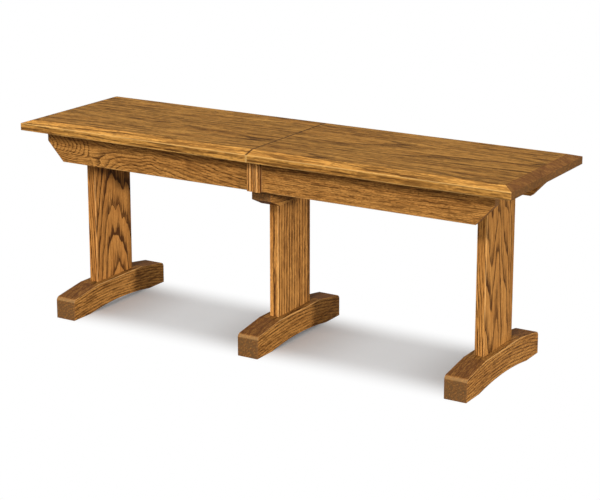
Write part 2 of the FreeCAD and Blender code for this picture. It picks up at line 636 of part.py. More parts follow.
def make_foot(side):
    """Foot with sloping ends, a rounded nose, an arch underneath and a mortise for its post."""
    body = new_body(f"foot_{side}")
    points = [("-Places.half_foot", "0"), ("-Places.arch_reach", "0"), ("Places.arch_reach", "0"),
              ("Places.half_foot", "0"), ("Places.half_foot", "Sizes.foot_nose"),
              ("Sizes.foot_flat", "Sizes.foot_height"), ("-Sizes.foot_flat", "Sizes.foot_height"),
              ("-Places.half_foot", "Sizes.foot_nose")]
    arcs = {1: ("0", "Sizes.foot_arch", "Places.arch_radius")}
    pad(body, outline(body, "Profile", "YZ_Plane", "0", points, arcs), "Sizes.foot_width", both_sides=True)
    half_foot = value("Places.half_foot")
    nose = value("Sizes.foot_nose")
    half_width = value("Sizes.foot_width") / 2

    def nose_edge(first, second):
        return near(abs(first.y), half_foot) and near(first.z, nose) and near(second.z, nose)

    def side_edge(first, second):
        return near(abs(first.x), half_width) and near(first.x, second.x)

    dress(body, "Fillet", "NoseRound", edges_where(body, nose_edge), "Radius", "Sizes.nose_radius")
    dress(body, "Fillet", "EdgeRound", edges_where(body, side_edge), "Radius", "Sizes.foot_round")
    mortise = rectangle(body, "Mortise", "XY_Plane", "Sizes.foot_height",
                        "-Places.half_tenon - Sizes.tenon_play", "Places.half_tenon + Sizes.tenon_play",
                        "-Places.half_tenon_width - Sizes.tenon_play",
                        "Places.half_tenon_width + Sizes.tenon_play")
    pocket(body, mortise, "Sizes.tenon_length + Sizes.tenon_play")
    spots = row_spots("0", "Sizes.foot_screw_spacing", 2)
    counterbores = circles(body, "Counterbores", "XY_Plane", "0", spots,
                           "Sizes.foot_screw_head + Sizes.bore_play")
    pocket(body, counterbores, "Sizes.foot_arch + Sizes.foot_bore_depth", backwards=True)
    holes = circles(body, "ScrewHoles", "XY_Plane", "0", spots, "Sizes.foot_screw_radius + Sizes.fit_play")
    pocket(body, holes, "Sizes.foot_height - Sizes.tenon_length", backwards=True)
    set_side(body, side, "Places.leg_place")
    return keep(body)


def make_bolster():
    """Block across the centre post that carries the guide sticks and the pinion."""
    body = new_body("bolster")
    points = [("-Places.half_bolster", "Places.bolster_low + Sizes.bolster_cut_rise"),
              ("-Places.half_bolster + Sizes.bolster_cut_run", "Places.bolster_low"),
              ("Places.half_bolster - Sizes.bolster_cut_run", "Places.bolster_low"),
              ("Places.half_bolster", "Places.bolster_low + Sizes.bolster_cut_rise"),
              ("Places.half_bolster", "Places.bolster_top"),
              ("-Places.half_bolster", "Places.bolster_top")]
    pad(body, outline(body, "Profile", "YZ_Plane", "0", points), "Sizes.bolster_width", both_sides=True)
    half_width = value("Places.half_bolster_width")
    top = value("Places.bolster_top")

    def lower_edge(first, second):
        on_side = near(abs(first.x), half_width) and near(first.x, second.x)
        at_top = near(first.z, top) and near(second.z, top)
        return on_side and not at_top

    dress(body, "Fillet", "EdgeRound", edges_where(body, lower_edge), "Radius", "Sizes.post_round")
    mortise = rectangle(body, "Mortise", "XY_Plane", "Places.bolster_low",
                        "-Places.half_tenon - Sizes.tenon_play", "Places.half_tenon + Sizes.tenon_play",
                        "-Places.half_tenon_width - Sizes.tenon_play",
                        "Places.half_tenon_width + Sizes.tenon_play")
    pocket(body, mortise, "Sizes.tenon_length + Sizes.tenon_play", backwards=True)
    axle_hole = circles(body, "AxleHole", "XY_Plane", "Places.bolster_top", [("0", "0")],
                        "Sizes.axle_radius + Sizes.fit_play")
    pocket(body, axle_hole, "Sizes.axle_sunk + Sizes.screw_room")
    spots = guide_screw_spots()
    counterbores = circles(body, "Counterbores", "XY_Plane", "Places.bolster_low", spots,
                           "Sizes.screw_head_radius + Sizes.bore_play")
    pocket(body, counterbores, "Sizes.guide_bore_depth", backwards=True)
    holes = circles(body, "ScrewHoles", "XY_Plane", "Places.bolster_low", spots,
                    "Sizes.screw_radius + Sizes.fit_play")
    pocket(body, holes, "Sizes.bolster_height", backwards=True)
    return keep(body)


def guide_screw_spots():
    return [(f"{along} * Sizes.guide_screw_spacing / 2", f"{across} * Places.guide_middle")
            for along in (-1, 1) for across in (-1, 1)]


def make_end_cleat(side):
    """Block behind an end post, screwed up into the top and out into the post."""
    body = new_body(f"end_cleat_{side}")
    points = [("-Places.cleat_outer", "Places.cleat_low"),
              ("-Places.cleat_inner - Sizes.cleat_ease", "Places.cleat_low"),
              ("-Places.cleat_inner", "Places.cleat_low + Sizes.cleat_ease"),
              ("-Places.cleat_inner", "Places.underside"),
              ("-Places.cleat_outer", "Places.underside")]
    profile = outline(body, "Profile", "XZ_Plane", "0", points)
    pad(body, profile, "2 * (Places.apron_back - Sizes.cleat_play)", both_sides=True)
    spots = row_spots(CLEAT_MIDDLE, "Places.cleat_screw_spacing", CLEAT_SCREWS)
    counterbores = circles(body, "Counterbores", "XY_Plane", "Places.cleat_low", spots,
                           "Sizes.screw_head_radius + Sizes.bore_play")
    pocket(body, counterbores, "Sizes.cleat_bore_depth", backwards=True)
    holes = circles(body, "ScrewHoles", "XY_Plane", "Places.cleat_low", spots,
                    "Sizes.screw_radius + Sizes.fit_play")
    pocket(body, holes, "Sizes.cleat_height", backwards=True)
    post_spots = [(across, POST_SCREW_LEVEL) for _, across in row_spots("0", "Sizes.post_screw_spacing", 2)]
    recess = circles(body, "PostScrewHeads", "YZ_Plane", "-Places.cleat_inner", post_spots,
                     "Sizes.screw_head_radius + Sizes.bore_play")
    pocket(body, recess, "Sizes.screw_head_height + Sizes.post_head_sunk + Sizes.fit_play")
    post_holes = circles(body, "PostScrewHoles", "YZ_Plane", "-Places.cleat_inner", post_spots,
                         "Sizes.screw_radius + Sizes.fit_play")
    pocket(body, post_holes, "Sizes.cleat_thickness")
    set_side(body, side)
    return keep(body)


def make_stick(side, row):
    """Slide stick of one half, with a dovetail tongue that runs in the guide stick beside it."""
    body = new_body(f"slide_{row}_{side}")
    if row == "inner":
        back = "-Places.inner_near"
        face = "-Places.inner_far"
        tip = "-Places.inner_far - Sizes.tongue_depth"
        spots = stick_screw_spots()[0]
        middle = "-Places.inner_middle"
    else:
        back = "Places.outer_far"
        face = "Places.outer_near"
        tip = "Places.outer_near - Sizes.tongue_depth"
        spots = stick_screw_spots()[1]
        middle = "Places.outer_middle"
    points = [(back, "Places.stick_low"), (back, "Places.underside"), (face, "Places.underside"),
              (face, "Places.tongue_level + Sizes.tongue_neck / 2"),
              (tip, "Places.tongue_level + Sizes.tongue_tip / 2"),
              (tip, "Places.tongue_level - Sizes.tongue_tip / 2"),
              (face, "Places.tongue_level - Sizes.tongue_neck / 2"),
              (face, "Places.stick_low")]
    section = outline(body, "Section", "YZ_Plane", "-Places.cleat_inner", points)
    pad(body, section, "Places.cleat_inner + Places.stick_end")
    low, high = (back, face) if value(back) < value(face) else (face, back)
    relief = rectangle(body, "Relief", "XY_Plane", "Places.underside", "-Sizes.relief_start",
                       "Places.stick_end + Sizes.cut_over", f"{low} - Sizes.cut_over",
                       f"{high} + Sizes.cut_over")
    pocket(body, relief, "Sizes.slide_relief")
    counterbores = circles(body, "Counterbores", "XY_Plane", "Places.stick_low", spots,
                           "Sizes.screw_head_radius + Sizes.bore_play")
    pocket(body, counterbores, "Sizes.stick_bore_depth", backwards=True)
    holes = circles(body, "ScrewHoles", "XY_Plane", "Places.stick_low", spots,
                    "Sizes.screw_radius + Sizes.fit_play")
    pocket(body, holes, "Places.underside - Places.stick_low", backwards=True)
    peg_hole = circles(body, "PegHole", "XY_Plane", "Places.stick_low", [("Places.peg_place", middle)],
                       "Sizes.peg_radius + Sizes.fit_play")
    pocket(body, peg_hole, "Sizes.peg_sunk", backwards=True)
    if row == "inner":
        screw_holes = circles(body, "RackScrewHoles", "XZ_Plane", "Places.inner_near", rack_screw_spots(),
                              "Sizes.screw_radius + Sizes.fit_play")
        pocket(body, screw_holes, "Sizes.rack_screw_bite + Sizes.screw_room", backwards=True)
    set_side(body, side)
    return keep(body)


def make_guide(face):
    """Guide stick on the bolster, with a dovetail groove in each side."""
    body = new_body(f"slide_guide_{face}")
    neck = "(Sizes.tongue_neck / 2 + Sizes.tongue_play)"
    tip = "(Sizes.tongue_tip / 2 + Sizes.tongue_play)"
    inner = "-Places.guide_near"
    outer = "-Places.guide_far"
    inner_floor = "-Places.guide_near - Sizes.tongue_depth"
    outer_floor = "-Places.guide_far + Sizes.tongue_depth"
    level = "Places.tongue_level"
    points = [(outer, "Places.bolster_top"), (inner, "Places.bolster_top"),
              (inner, f"{level} - {neck}"), (inner_floor, f"{level} - {tip}"),
              (inner_floor, f"{level} + {tip}"), (inner, f"{level} + {neck}"),
              (inner, "Places.relief_level"), (outer, "Places.relief_level"),
              (outer, f"{level} + {neck}"), (outer_floor, f"{level} + {tip}"),
              (outer_floor, f"{level} - {tip}"), (outer, f"{level} - {neck}")]
    section = outline(body, "Section", "YZ_Plane", "0", points)
    pad(body, section, "2 * (Places.cleat_inner - Sizes.guide_end_gap)", both_sides=True)
    spots = [spot for spot in guide_screw_spots() if value(spot[1]) < 0]
    holes = circles(body, "ScrewHoles", "XY_Plane", "Places.bolster_top", spots,
                    "Sizes.screw_radius + Sizes.fit_play")
    pocket(body, holes, "Sizes.guide_screw_bite + Sizes.screw_room", backwards=True)
    if face == "back":
        turn_to_right(body)
    return keep(body)


def rack_screw_spots():
    return [(f"Sizes.rack_screw_first + {turn} * Places.rack_screw_pitch", "Places.rack_screw_level")
            for turn in range(RACK_SCREWS)]


def make_rack(side):
    """Toothed rack on the inner stick of one half."""
    body = new_body(f"rack_{side}")
    back = "-Places.inner_near"
    root = "-Places.rack_root"
    strip = rectangle(body, "Strip", "XY_Plane", "Places.rack_low", "Places.rack_start", "Places.rack_end",
                      back, root)
    pad(body, strip, "Sizes.rack_height")
    holes = circles(body, "ScrewHoles", "XZ_Plane", "Places.inner_near", rack_screw_spots(),
                    "Sizes.screw_radius + Sizes.fit_play")
    pocket(body, holes, "Sizes.rack_body")
    half_pitch_width = "(Places.rack_pitch / 4 - Sizes.backlash / 4)"
    lean_out = "Sizes.gear_module * tan(Sizes.pressure_angle)"
    root_half = f"({half_pitch_width} + Sizes.root_share * {lean_out})"
    tip_half = f"({half_pitch_width} - {lean_out})"
    sunk = "-Places.rack_root - Sizes.cut_over"
    points = [(f"Places.rack_first - {root_half}", root), (f"Places.rack_first - {root_half}", sunk),
              (f"Places.rack_first + {root_half}", sunk), (f"Places.rack_first + {root_half}", root),
              (f"Places.rack_first + {tip_half}", "-Places.rack_tip"),
              (f"Places.rack_first - {tip_half}", "-Places.rack_tip")]
    tooth = pad(body, outline(body, "Tooth", "XY_Plane", "Places.rack_low", points),
                "Sizes.rack_teeth_height")
    teeth = body.newObject("PartDesign::LinearPattern", "Teeth")
    teeth.Originals = [tooth]
    teeth.Direction = (origin_part(body, "X_Axis"), [""])
    teeth.setExpression("Length", "(Places.rack_count - 1) * Places.rack_pitch")
    teeth.setExpression("Occurrences", "Places.rack_count")
    body.Tip = teeth
    doc.recompute()
    set_side(body, side)
    return keep(body)


def involute_point(base_radius, radius, start_angle):
    """Point at a radius of the right flank of a tooth that points to the front."""
    roll = math.acos(min(1.0, base_radius / radius))
    angle = start_angle - (math.tan(roll) - roll)
    return Vector(radius * math.sin(angle), -radius * math.cos(angle), 0)


def make_pinion():
    """Spur gear with involute teeth, two raised hubs and a bore for its axle."""
    body = new_body("pinion")
    module = value("Sizes.gear_module")
    teeth = int(value("Sizes.pinion_teeth"))
    pressure = math.radians(value("Sizes.pressure_angle"))
    pitch_radius = value("Places.pitch_radius")
    base_radius = pitch_radius * math.cos(pressure)
    tip_radius = pitch_radius + module
    root_radius = pitch_radius - value("Sizes.root_share") * module
    half_width = math.pi * module / 4 - value("Sizes.backlash") / 4
    flank_start = half_width / pitch_radius + math.tan(pressure) - pressure
    disc = circles(body, "Disc", "XY_Plane", "Places.pinion_low", [("0", "0")],
                   "Places.pitch_radius - Sizes.root_share * Sizes.gear_module")
    pad(body, disc, "Sizes.pinion_thickness")
    lowest = max(base_radius, root_radius)
    right = [involute_point(base_radius, radius, flank_start)
             for radius in (lowest, (lowest + tip_radius) / 2, tip_radius)]
    left = [Vector(-point.x, point.y, 0) for point in right]
    sunk = value("Sizes.cut_over") - root_radius
    right_root = Vector(right[0].x, sunk, 0)
    left_root = Vector(left[0].x, sunk, 0)
    sketch = new_sketch(body, "Tooth", "XY_Plane", "Places.pinion_low")
    sketch.addGeometry([Part.LineSegment(right_root, right[0]), Part.Arc(right[0], right[1], right[2]),
                        Part.Arc(right[2], Vector(0, -tip_radius, 0), left[2]),
                        Part.Arc(left[2], left[1], left[0]), Part.LineSegment(left[0], left_root),
                        Part.LineSegment(left_root, right_root)], False)
    for number in range(6):
        sketch.addConstraint(Sketcher.Constraint("Block", number))
    tooth = pad(body, sketch, "Sizes.pinion_thickness")
    ring = body.newObject("PartDesign::PolarPattern", "Teeth")
    ring.Originals = [tooth]
    ring.Axis = (origin_part(body, "Z_Axis"), [""])
    ring.Angle = 360
    ring.setExpression("Occurrences", "Sizes.pinion_teeth")
    body.Tip = ring
    doc.recompute()
    hub = circles(body, "Hub", "XY_Plane", "Places.pinion_top", [("0", "0")], "Sizes.hub_radius")
    pad(body, hub, "Sizes.hub_rise")
    bore = circles(body, "Bore", "XY_Plane", "Places.pinion_low", [("0", "0")],
                   "Sizes.axle_radius + Sizes.running_play")
    pocket(body, bore, "Sizes.pinion_thickness + Sizes.hub_rise", backwards=True)
    if teeth % 2:
        raise RuntimeError("the pinion needs an even number of teeth to mesh with both racks")
    return keep(body)


def revolve(body, sketch, axis_side):
    """Turns an outline about one of its own sides."""
    turned = body.newObject("PartDesign::Revolution", sketch.Name + "Turn")
    turned.Profile = sketch
    turned.ReferenceAxis = (sketch, [f"Edge{axis_side}"])
    turned.Angle = 360
    doc.recompute()
    return turned


def make_axle():
    """Headed steel axle of the pinion, driven into the bolster."""
    body = new_body("pinion_axle")
    head = "Sizes.axle_head_radius"
    points = [("0", "Places.bolster_top - Sizes.axle_sunk"),
              ("Sizes.axle_radius - Sizes.pin_chamfer", "Places.bolster_top - Sizes.axle_sunk"),
              ("Sizes.axle_radius", "Places.bolster_top - Sizes.axle_sunk + Sizes.pin_chamfer"),
              ("Sizes.axle_radius", "Places.head_low"), (head, "Places.head_low"),
              (head, "Places.head_low + Sizes.axle_head_height / 2"),
              ("Sizes.axle_crown", "Places.head_low + Sizes.axle_head_height"),
              ("0", "Places.head_low + Sizes.axle_head_height")]
    revolve(body, outline(body, "HalfSection", "XZ_Plane", "0", points), 8)
    return keep(body)


def make_washer():
    body = new_body("pinion_washer")
    disc = circles(body, "Disc", "XY_Plane", "Places.bolster_top", [("0", "0")], "Sizes.washer_radius")
    pad(body, disc, "Sizes.washer_thickness")
    bore = circles(body, "Bore", "XY_Plane", "Places.bolster_top", [("0", "0")],
                   "Sizes.axle_radius + Sizes.running_play")
    pocket(body, bore, "Sizes.washer_thickness", backwards=True)
    return keep(body)


def repeat(body, feature, along, across=None):
    """Repeats a feature in a row or a grid. Each direction is an axis, a length and a count."""
    grid = body.newObject("PartDesign::LinearPattern", "Grid")
    grid.Originals = [feature]
    axis, length, count = along
    grid.Direction = (origin_part(body, axis), [""])
    grid.setExpression("Length", length)
    grid.Occurrences = count
    if across:
        axis, length, count = across
        grid.Direction2 = (origin_part(body, axis), [""])
        grid.setExpression("Length2", length)
        grid.Occurrences2 = count
    body.Tip = grid
    doc.recompute()
    return grid


def screw_outline(head, shank, height, length, at):
    """Half section of a screw: at maps the place along its axis and off it to a point."""
    taper = f"Sizes.screw_point_share * {shank}"
    return [at("0", "0"), at("0", head), at(f"Sizes.screw_rim_share * {height}", head), at(height, shank),
            at(f"{length} - {taper}", shank), at(length, "0")]


WOOD_SCREW = ("Sizes.screw_head_radius", "Sizes.screw_radius", "Sizes.screw_head_height")
FOOT_SCREW = ("Sizes.foot_screw_head", "Sizes.foot_screw_radius", "Sizes.foot_head_height")
SMALL_SCREW = ("Sizes.small_screw_head", "Sizes.small_screw_radius", "Sizes.small_head_height")


def upright_screws(node, kind, first, level, length, along, across=None):
    """Screws that point up, their heads at a level."""
    body = new_body(node)
    body.AllowCompound = True
    x, y = first

    def at(axial, radial):
        return (f"{x} + {radial}", f"{level} + {axial}")

    points = screw_outline(kind[0], kind[1], kind[2], f"({length})", at)
    turned = revolve(body, outline(body, "HalfSection", "XZ_Plane", f"-({y})", points), 6)
    repeat(body, turned, along, across)
    return keep(body)


def make_stick_screws(side):
    spots = stick_screw_spots()[0]
    level = "(Places.stick_low + Sizes.stick_bore_depth - Sizes.screw_head_height)"
    length = f"Places.underside + Sizes.screw_bite - {level}"
    last_x = f"-(Sizes.stick_screw_first + {STICK_SCREWS - 1} * Places.stick_screw_pitch)"
    body = upright_screws(f"slide_screws_{side}", WOOD_SCREW, (last_x, spots[0][1]), level, length,
                          ("X_Axis", f"{STICK_SCREWS - 1} * Places.stick_screw_pitch", STICK_SCREWS),
                          ("Y_Axis", "Places.inner_middle + Places.outer_middle", 2))
    set_side(body, side)


def make_cleat_screws(side):
    level = "(Places.cleat_low + Sizes.cleat_bore_depth - Sizes.screw_head_height)"
    length = f"Places.underside + Sizes.screw_bite - {level}"
    first = row_spots(CLEAT_MIDDLE, "Places.cleat_screw_spacing", CLEAT_SCREWS)[0]
    body = upright_screws(f"cleat_screws_{side}", WOOD_SCREW, first, level, length,
                          ("Y_Axis", f"{CLEAT_SCREWS - 1} * Places.cleat_screw_spacing", CLEAT_SCREWS))
    set_side(body, side)


def make_post_screws(side):
    """Level screws through the end cleat into the post."""
    body = new_body(f"post_screws_{side}")
    body.AllowCompound = True
    head_place = "(-Places.cleat_inner - Sizes.post_head_sunk)"

    def at(axial, radial):
        return (f"{head_place} - ({axial})", f"{POST_SCREW_LEVEL} + {radial}")

    length = "(Sizes.cleat_thickness + Sizes.post_screw_bite - Sizes.post_head_sunk)"
    points = screw_outline(*WOOD_SCREW, length, at)
    section = outline(body, "HalfSection", "XZ_Plane", "Sizes.post_screw_spacing / 2", points)
    turned = revolve(body, section, 6)
    repeat(body, turned, ("Y_Axis", "Sizes.post_screw_spacing", 2))
    set_side(body, side)
    return keep(body)


def make_foot_screws(side):
    level = "(Sizes.foot_arch + Sizes.foot_bore_depth - Sizes.foot_head_height)"
    length = f"Sizes.foot_height - Sizes.tenon_length + Sizes.foot_screw_bite - {level}"
    first = row_spots("0", "Sizes.foot_screw_spacing", 2)[0]
    body = upright_screws(f"foot_screws_{side}", FOOT_SCREW, first, level, length,
                          ("Y_Axis", "Sizes.foot_screw_spacing", 2))
    set_side(body, side, "Places.leg_place")


def make_guide_screws():
    level = "(Places.bolster_low + Sizes.guide_bore_depth - Sizes.screw_head_height)"
    length = f"Places.bolster_top + Sizes.guide_screw_bite - {level}"
    upright_screws("guide_screws", WOOD_SCREW, guide_screw_spots()[0], level, length,
                   ("X_Axis", "Sizes.guide_screw_spacing", 2), ("Y_Axis", "2 * Places.guide_middle", 2))


def make_rack_screws(side):
    """Level screws through the rack's strip into the inner stick."""
    body = new_body(f"rack_screws_{side}")
    body.AllowCompound = True
    head_place = "(-Places.rack_root + Sizes.screw_head_height)"

    def at(axial, radial):
        return (f"{head_place} - ({axial})", f"Places.rack_screw_level + {radial}")

    length = "(Sizes.screw_head_height + Sizes.rack_body + Sizes.rack_screw_bite)"
    head, shank, height = WOOD_SCREW
    points = [at("0", "0"), at("0", f"Sizes.crown_share * {head}"),
              at(f"Sizes.crown_rise_share * {height}", head), at(height, head), at(height, shank),
              at(f"{length} - Sizes.screw_point_share * {shank}", shank), at(length, "0")]
    turned = revolve(body, outline(body, "HalfSection", "YZ_Plane", "Sizes.rack_screw_first", points), 7)
    repeat(body, turned, ("X_Axis", f"{RACK_SCREWS - 1} * Places.rack_screw_pitch", RACK_SCREWS))
    set_side(body, side)
    return keep(body)


def make_stop_pegs(side):
    """Pegs that land on the bolster when the half is fully drawn out."""
    body = new_body(f"stop_pegs_{side}")
    body.AllowCompound = True
    low = "Places.stick_low - Sizes.peg_drop"
    radius = "Sizes.peg_radius"
    axis = "Places.peg_place"
    points = [(axis, low), (f"{axis} + {radius} - Sizes.pin_chamfer", low),
              (f"{axis} + {radius}", f"{low} + Sizes.pin_chamfer"),
              (f"{axis} + {radius}", "Places.stick_low + Sizes.peg_sunk - Sizes.blind_gap"),
              (axis, "Places.stick_low + Sizes.peg_sunk - Sizes.blind_gap")]
    turned = revolve(body, outline(body, "HalfSection", "XZ_Plane", "Places.inner_middle", points), 5)
    repeat(body, turned, ("Y_Axis", "Places.inner_middle + Places.outer_middle", 2))
    set_side(body, side)
    return keep(body)


def make_seam_pins():
    """Pins in the left half's seam that enter the right half when the bench is closed."""
    body = new_body("seam_pins")
    body.AllowCompound = True
    start = "(-Places.seam_side - Sizes.pin_sunk + Sizes.blind_gap)"
    end = "(Places.seam_side + Sizes.pin_reach)"
    level = "Places.pin_level"
    radius = "Sizes.pin_radius"
    points = [(start, level), (start, f"{level} + {radius}"),
              (f"{end} - Sizes.pin_taper", f"{level} + {radius}"),
              (end, f"{level} + {radius} - Sizes.pin_taper_fall"), (end, level)]
    first = f"{(SEAM_PINS - 1) / 2} * Sizes.pin_spacing"
    turned = revolve(body, outline(body, "HalfSection", "XZ_Plane", first, points), 5)
    repeat(body, turned, ("Y_Axis", f"{SEAM_PINS - 1} * Sizes.pin_spacing", SEAM_PINS))
    return keep(body)


def make_glue_blocks(side):
    """Three-sided blocks in the corners between the aprons and the top."""
    body = new_body(f"glue_blocks_{side}")
    body.AllowCompound = True
    last = f"-(Sizes.block_first + {GLUE_BLOCKS - 1} * Places.block_pitch + Sizes.block_length / 2)"
    blocks = []
    for name, out in (("Front", "-"), ("Back", "")):
        wall = f"{out}Places.apron_back"
        points = [(wall, "Places.underside"), (wall, "Places.underside - Sizes.block_leg"),
                  (f"{out}(Places.apron_back - Sizes.block_nose)", "Places.underside - Sizes.block_leg"),
                  (f"{out}(Places.apron_back - Sizes.block_leg)", "Places.underside - Sizes.block_nose"),
                  (f"{out}(Places.apron_back - Sizes.block_leg)", "Places.underside")]
        blocks.append(pad(body, outline(body, name, "YZ_Plane", last, points), "Sizes.block_length"))
    grid = body.newObject("PartDesign::LinearPattern", "Grid")
    grid.Originals = blocks
    grid.Direction = (origin_part(body, "X_Axis"), [""])
    grid.setExpression("Length", f"{GLUE_BLOCKS - 1} * Places.block_pitch")
    grid.Occurrences = GLUE_BLOCKS
    body.Tip = grid
    doc.recompute()
    set_side(body, side)
    return keep(body)


LOCK_SCREW_SIDE = "(Sizes.lock_plate_width / 2 - Sizes.lock_screw_inset)"
EYE_MIDDLES = ("(Places.lock_start - Sizes.lock_eye_length / 2)",
               "(Sizes.lock_edge + Sizes.lock_eye_length / 2)")
LOCK_SCREW_PLACES = ("(Places.lock_start - Sizes.lock_eye_length - Sizes.lock_screw_reach)",
                     "(Sizes.lock_edge + Sizes.lock_eye_length + Sizes.lock_screw_reach)")
KEEPER_SCREW_PLACE = "(Sizes.lock_edge + Sizes.keeper_length - Sizes.lock_screw_reach)"


def lock_screw_spots():
    return [(f"-{along}", f"{across} * {LOCK_SCREW_SIDE}")
            for along in LOCK_SCREW_PLACES for across in (-1, 1)]


def keeper_screw_spots(sign=""):
    return [(f"{sign}{KEEPER_SCREW_PLACE}", f"{across} * {LOCK_SCREW_SIDE}") for across in (-1, 1)]


def plate_with_eyes(body, start, end, eyes, spots):
    """Plate under the top with eyes hanging from it, bored for the sliding bolt."""
    plate = rectangle(body, "Plate", "XY_Plane", "Places.plate_low", start, end,
                      "-Sizes.lock_plate_width / 2", "Sizes.lock_plate_width / 2")
    pad(body, plate, "Sizes.lock_plate_thickness")
    side = "Sizes.lock_eye_width / 2"
    low = "Places.plate_low - Sizes.lock_eye_height"
    shoulder = "Places.bolt_level"
    root = "Places.plate_low + Sizes.lock_eye_root"
    section = [(f"-{side}", root), (f"-{side}", shoulder), (f"-{side} + Sizes.lock_eye_bevel", low),
               (f"{side} - Sizes.lock_eye_bevel", low), (side, shoulder), (side, root)]
    for number, eye in enumerate(eyes):
        sketch = outline(body, f"Eye{number}", "YZ_Plane", f"{eye} - Sizes.lock_eye_length / 2", section)
        pad(body, sketch, "Sizes.lock_eye_length")
    bore = circles(body, "Bore", "YZ_Plane", f"{end} + Sizes.cut_over", [("0", "Places.bolt_level")],
                   "Sizes.bolt_radius + Sizes.bolt_play")
    pocket(body, bore, f"{end} - ({start}) + 2 * Sizes.cut_over")
    holes = circles(body, "ScrewHoles", "XY_Plane", "Places.plate_low", spots,
                    "Sizes.small_screw_radius + Sizes.fit_play")
    pocket(body, holes, "Sizes.lock_plate_thickness", backwards=True)


def make_lock_plate():
    body = new_body("lock_plate")
    plate_with_eyes(body, "-Places.lock_start", "-Sizes.lock_edge", [f"-{eye}" for eye in EYE_MIDDLES],
                    lock_screw_spots())
    return keep(body)


def make_lock_keeper():
    body = new_body("lock_keeper")
    end = "Sizes.lock_edge + Sizes.keeper_length"
    plate_with_eyes(body, "Sizes.lock_edge", end, [EYE_MIDDLES[1]], keeper_screw_spots())
    return keep(body)


def make_lock_bolt():
    """Round sliding bolt with a knob that hangs down within reach of a hand."""
    body = new_body("lock_bolt")
    level = "Places.bolt_level"
    radius = "Sizes.bolt_radius"
    points = [("-Places.bolt_back", level), ("-Places.bolt_back", f"{level} + {radius} - Sizes.pin_chamfer"),
              ("-Places.bolt_back + Sizes.pin_chamfer", f"{level} + {radius}"),
              ("-Places.bolt_front - Sizes.bolt_nose", f"{level} + {radius}"),
              ("-Places.bolt_front", f"{level} + {radius} - Sizes.bolt_nose"), ("-Places.bolt_front", level)]
    revolve(body, outline(body, "Rod", "XZ_Plane", "0", points), 6)
    axis = "-Places.knob_place"
    knob = "Sizes.knob_radius"
    neck = f"{level} - {radius} - Sizes.knob_neck"
    low = f"{level} - {radius} - Sizes.knob_drop"
    points = [(axis, level), (f"{axis} + {knob} / 2", level), (f"{axis} + {knob} / 2", neck),
              (f"{axis} + {knob}", f"{neck} - Sizes.knob_shoulder"),
              (f"{axis} + {knob}", f"{low} + Sizes.knob_round"),
              (f"{axis} + {knob} - Sizes.knob_round", low), (axis, low)]
    revolve(body, outline(body, "Knob", "XZ_Plane", "0", points), 7)
    return keep(body)


def make_lock_screws():
    """Small screws of the lock's plate and, in their own node, of the keeper."""
    level = "(Places.plate_low - Sizes.small_head_height)"
    length = "Sizes.small_head_height + Sizes.lock_plate_thickness + Sizes.small_screw_bite"
    grid_length = f"{LOCK_SCREW_PLACES[0]} - {LOCK_SCREW_PLACES[1]}"
    first = lock_screw_spots()[0]
    across = ("Y_Axis", f"2 * {LOCK_SCREW_SIDE}", 2)
    small_screws("lock_screws", first, level, length, ("X_Axis", grid_length, 2), across)
    small_screws("keeper_screws", keeper_screw_spots()[0], level, length, across)


def small_screws(node, first, level, length, along, across=None):
    """Round-headed screws whose heads lie under a plate."""
    body = new_body(node)
    body.AllowCompound = True
    x, y = first
    head, shank, height = SMALL_SCREW
    points = [(x, level), (f"{x} + Sizes.crown_share * {head}", level),
              (f"{x} + {head}", f"{level} + Sizes.crown_rise_share * {height}"),
              (f"{x} + {head}", f"{level} + {height}"), (f"{x} + {shank}", f"{level} + {height}"),
              (f"{x} + {shank}", f"{level} + {length} - Sizes.small_screw_point"), (x, f"{level} + {length}")]
    turned = revolve(body, outline(body, "HalfSection", "XZ_Plane", f"-({y})", points), 7)
    repeat(body, turned, along, across)
    return keep(body)


for side in SIDES:
    make_top(side)
    for face in ("front", "back"):
        make_apron(side, face)
        make_cap(side, face)
    make_end_cleat(side)
    make_stick(side, "inner")
    make_stick(side, "outer")
    make_rack(side)
    make_stick_screws(side)
    make_cleat_screws(side)
    make_post_screws(side)
    make_rack_screws(side)
    make_stop_pegs(side)
    make_glue_blocks(side)
for side in LEGS:
    make_post(side)
    make_foot(side)
    make_foot_screws(side)
make_bolster()
make_guide("front")
make_guide("back")
make_guide_screws()
make_pinion()
make_axle()
make_washer()
make_seam_pins()
make_lock_plate()
make_lock_bolt()
make_lock_keeper()
make_lock_screws()
doc.recompute()

for item in doc.Objects:
    if "Invalid" in item.State or "Error" in item.State:
        raise RuntimeError(f"{item.Label} did not rebuild: {item.State}")
for body in nodes:
    if body.Shape.isNull() or not body.Shape.isValid() or not body.Shape.Solids:
        raise RuntimeError(f"{body.Label} has no valid solid")
os.makedirs("parts", exist_ok=True)
for body in nodes:
    body.Shape.exportStep(f"parts/{body.Label}.step")
print(len(nodes), "nodes,", sum(len(body.Shape.Solids) for body in nodes), "solids")
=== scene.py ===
"""Finishes for an oak extending bench: three trestles, and a top in two halves on geared slides."""

import json
import math
import random

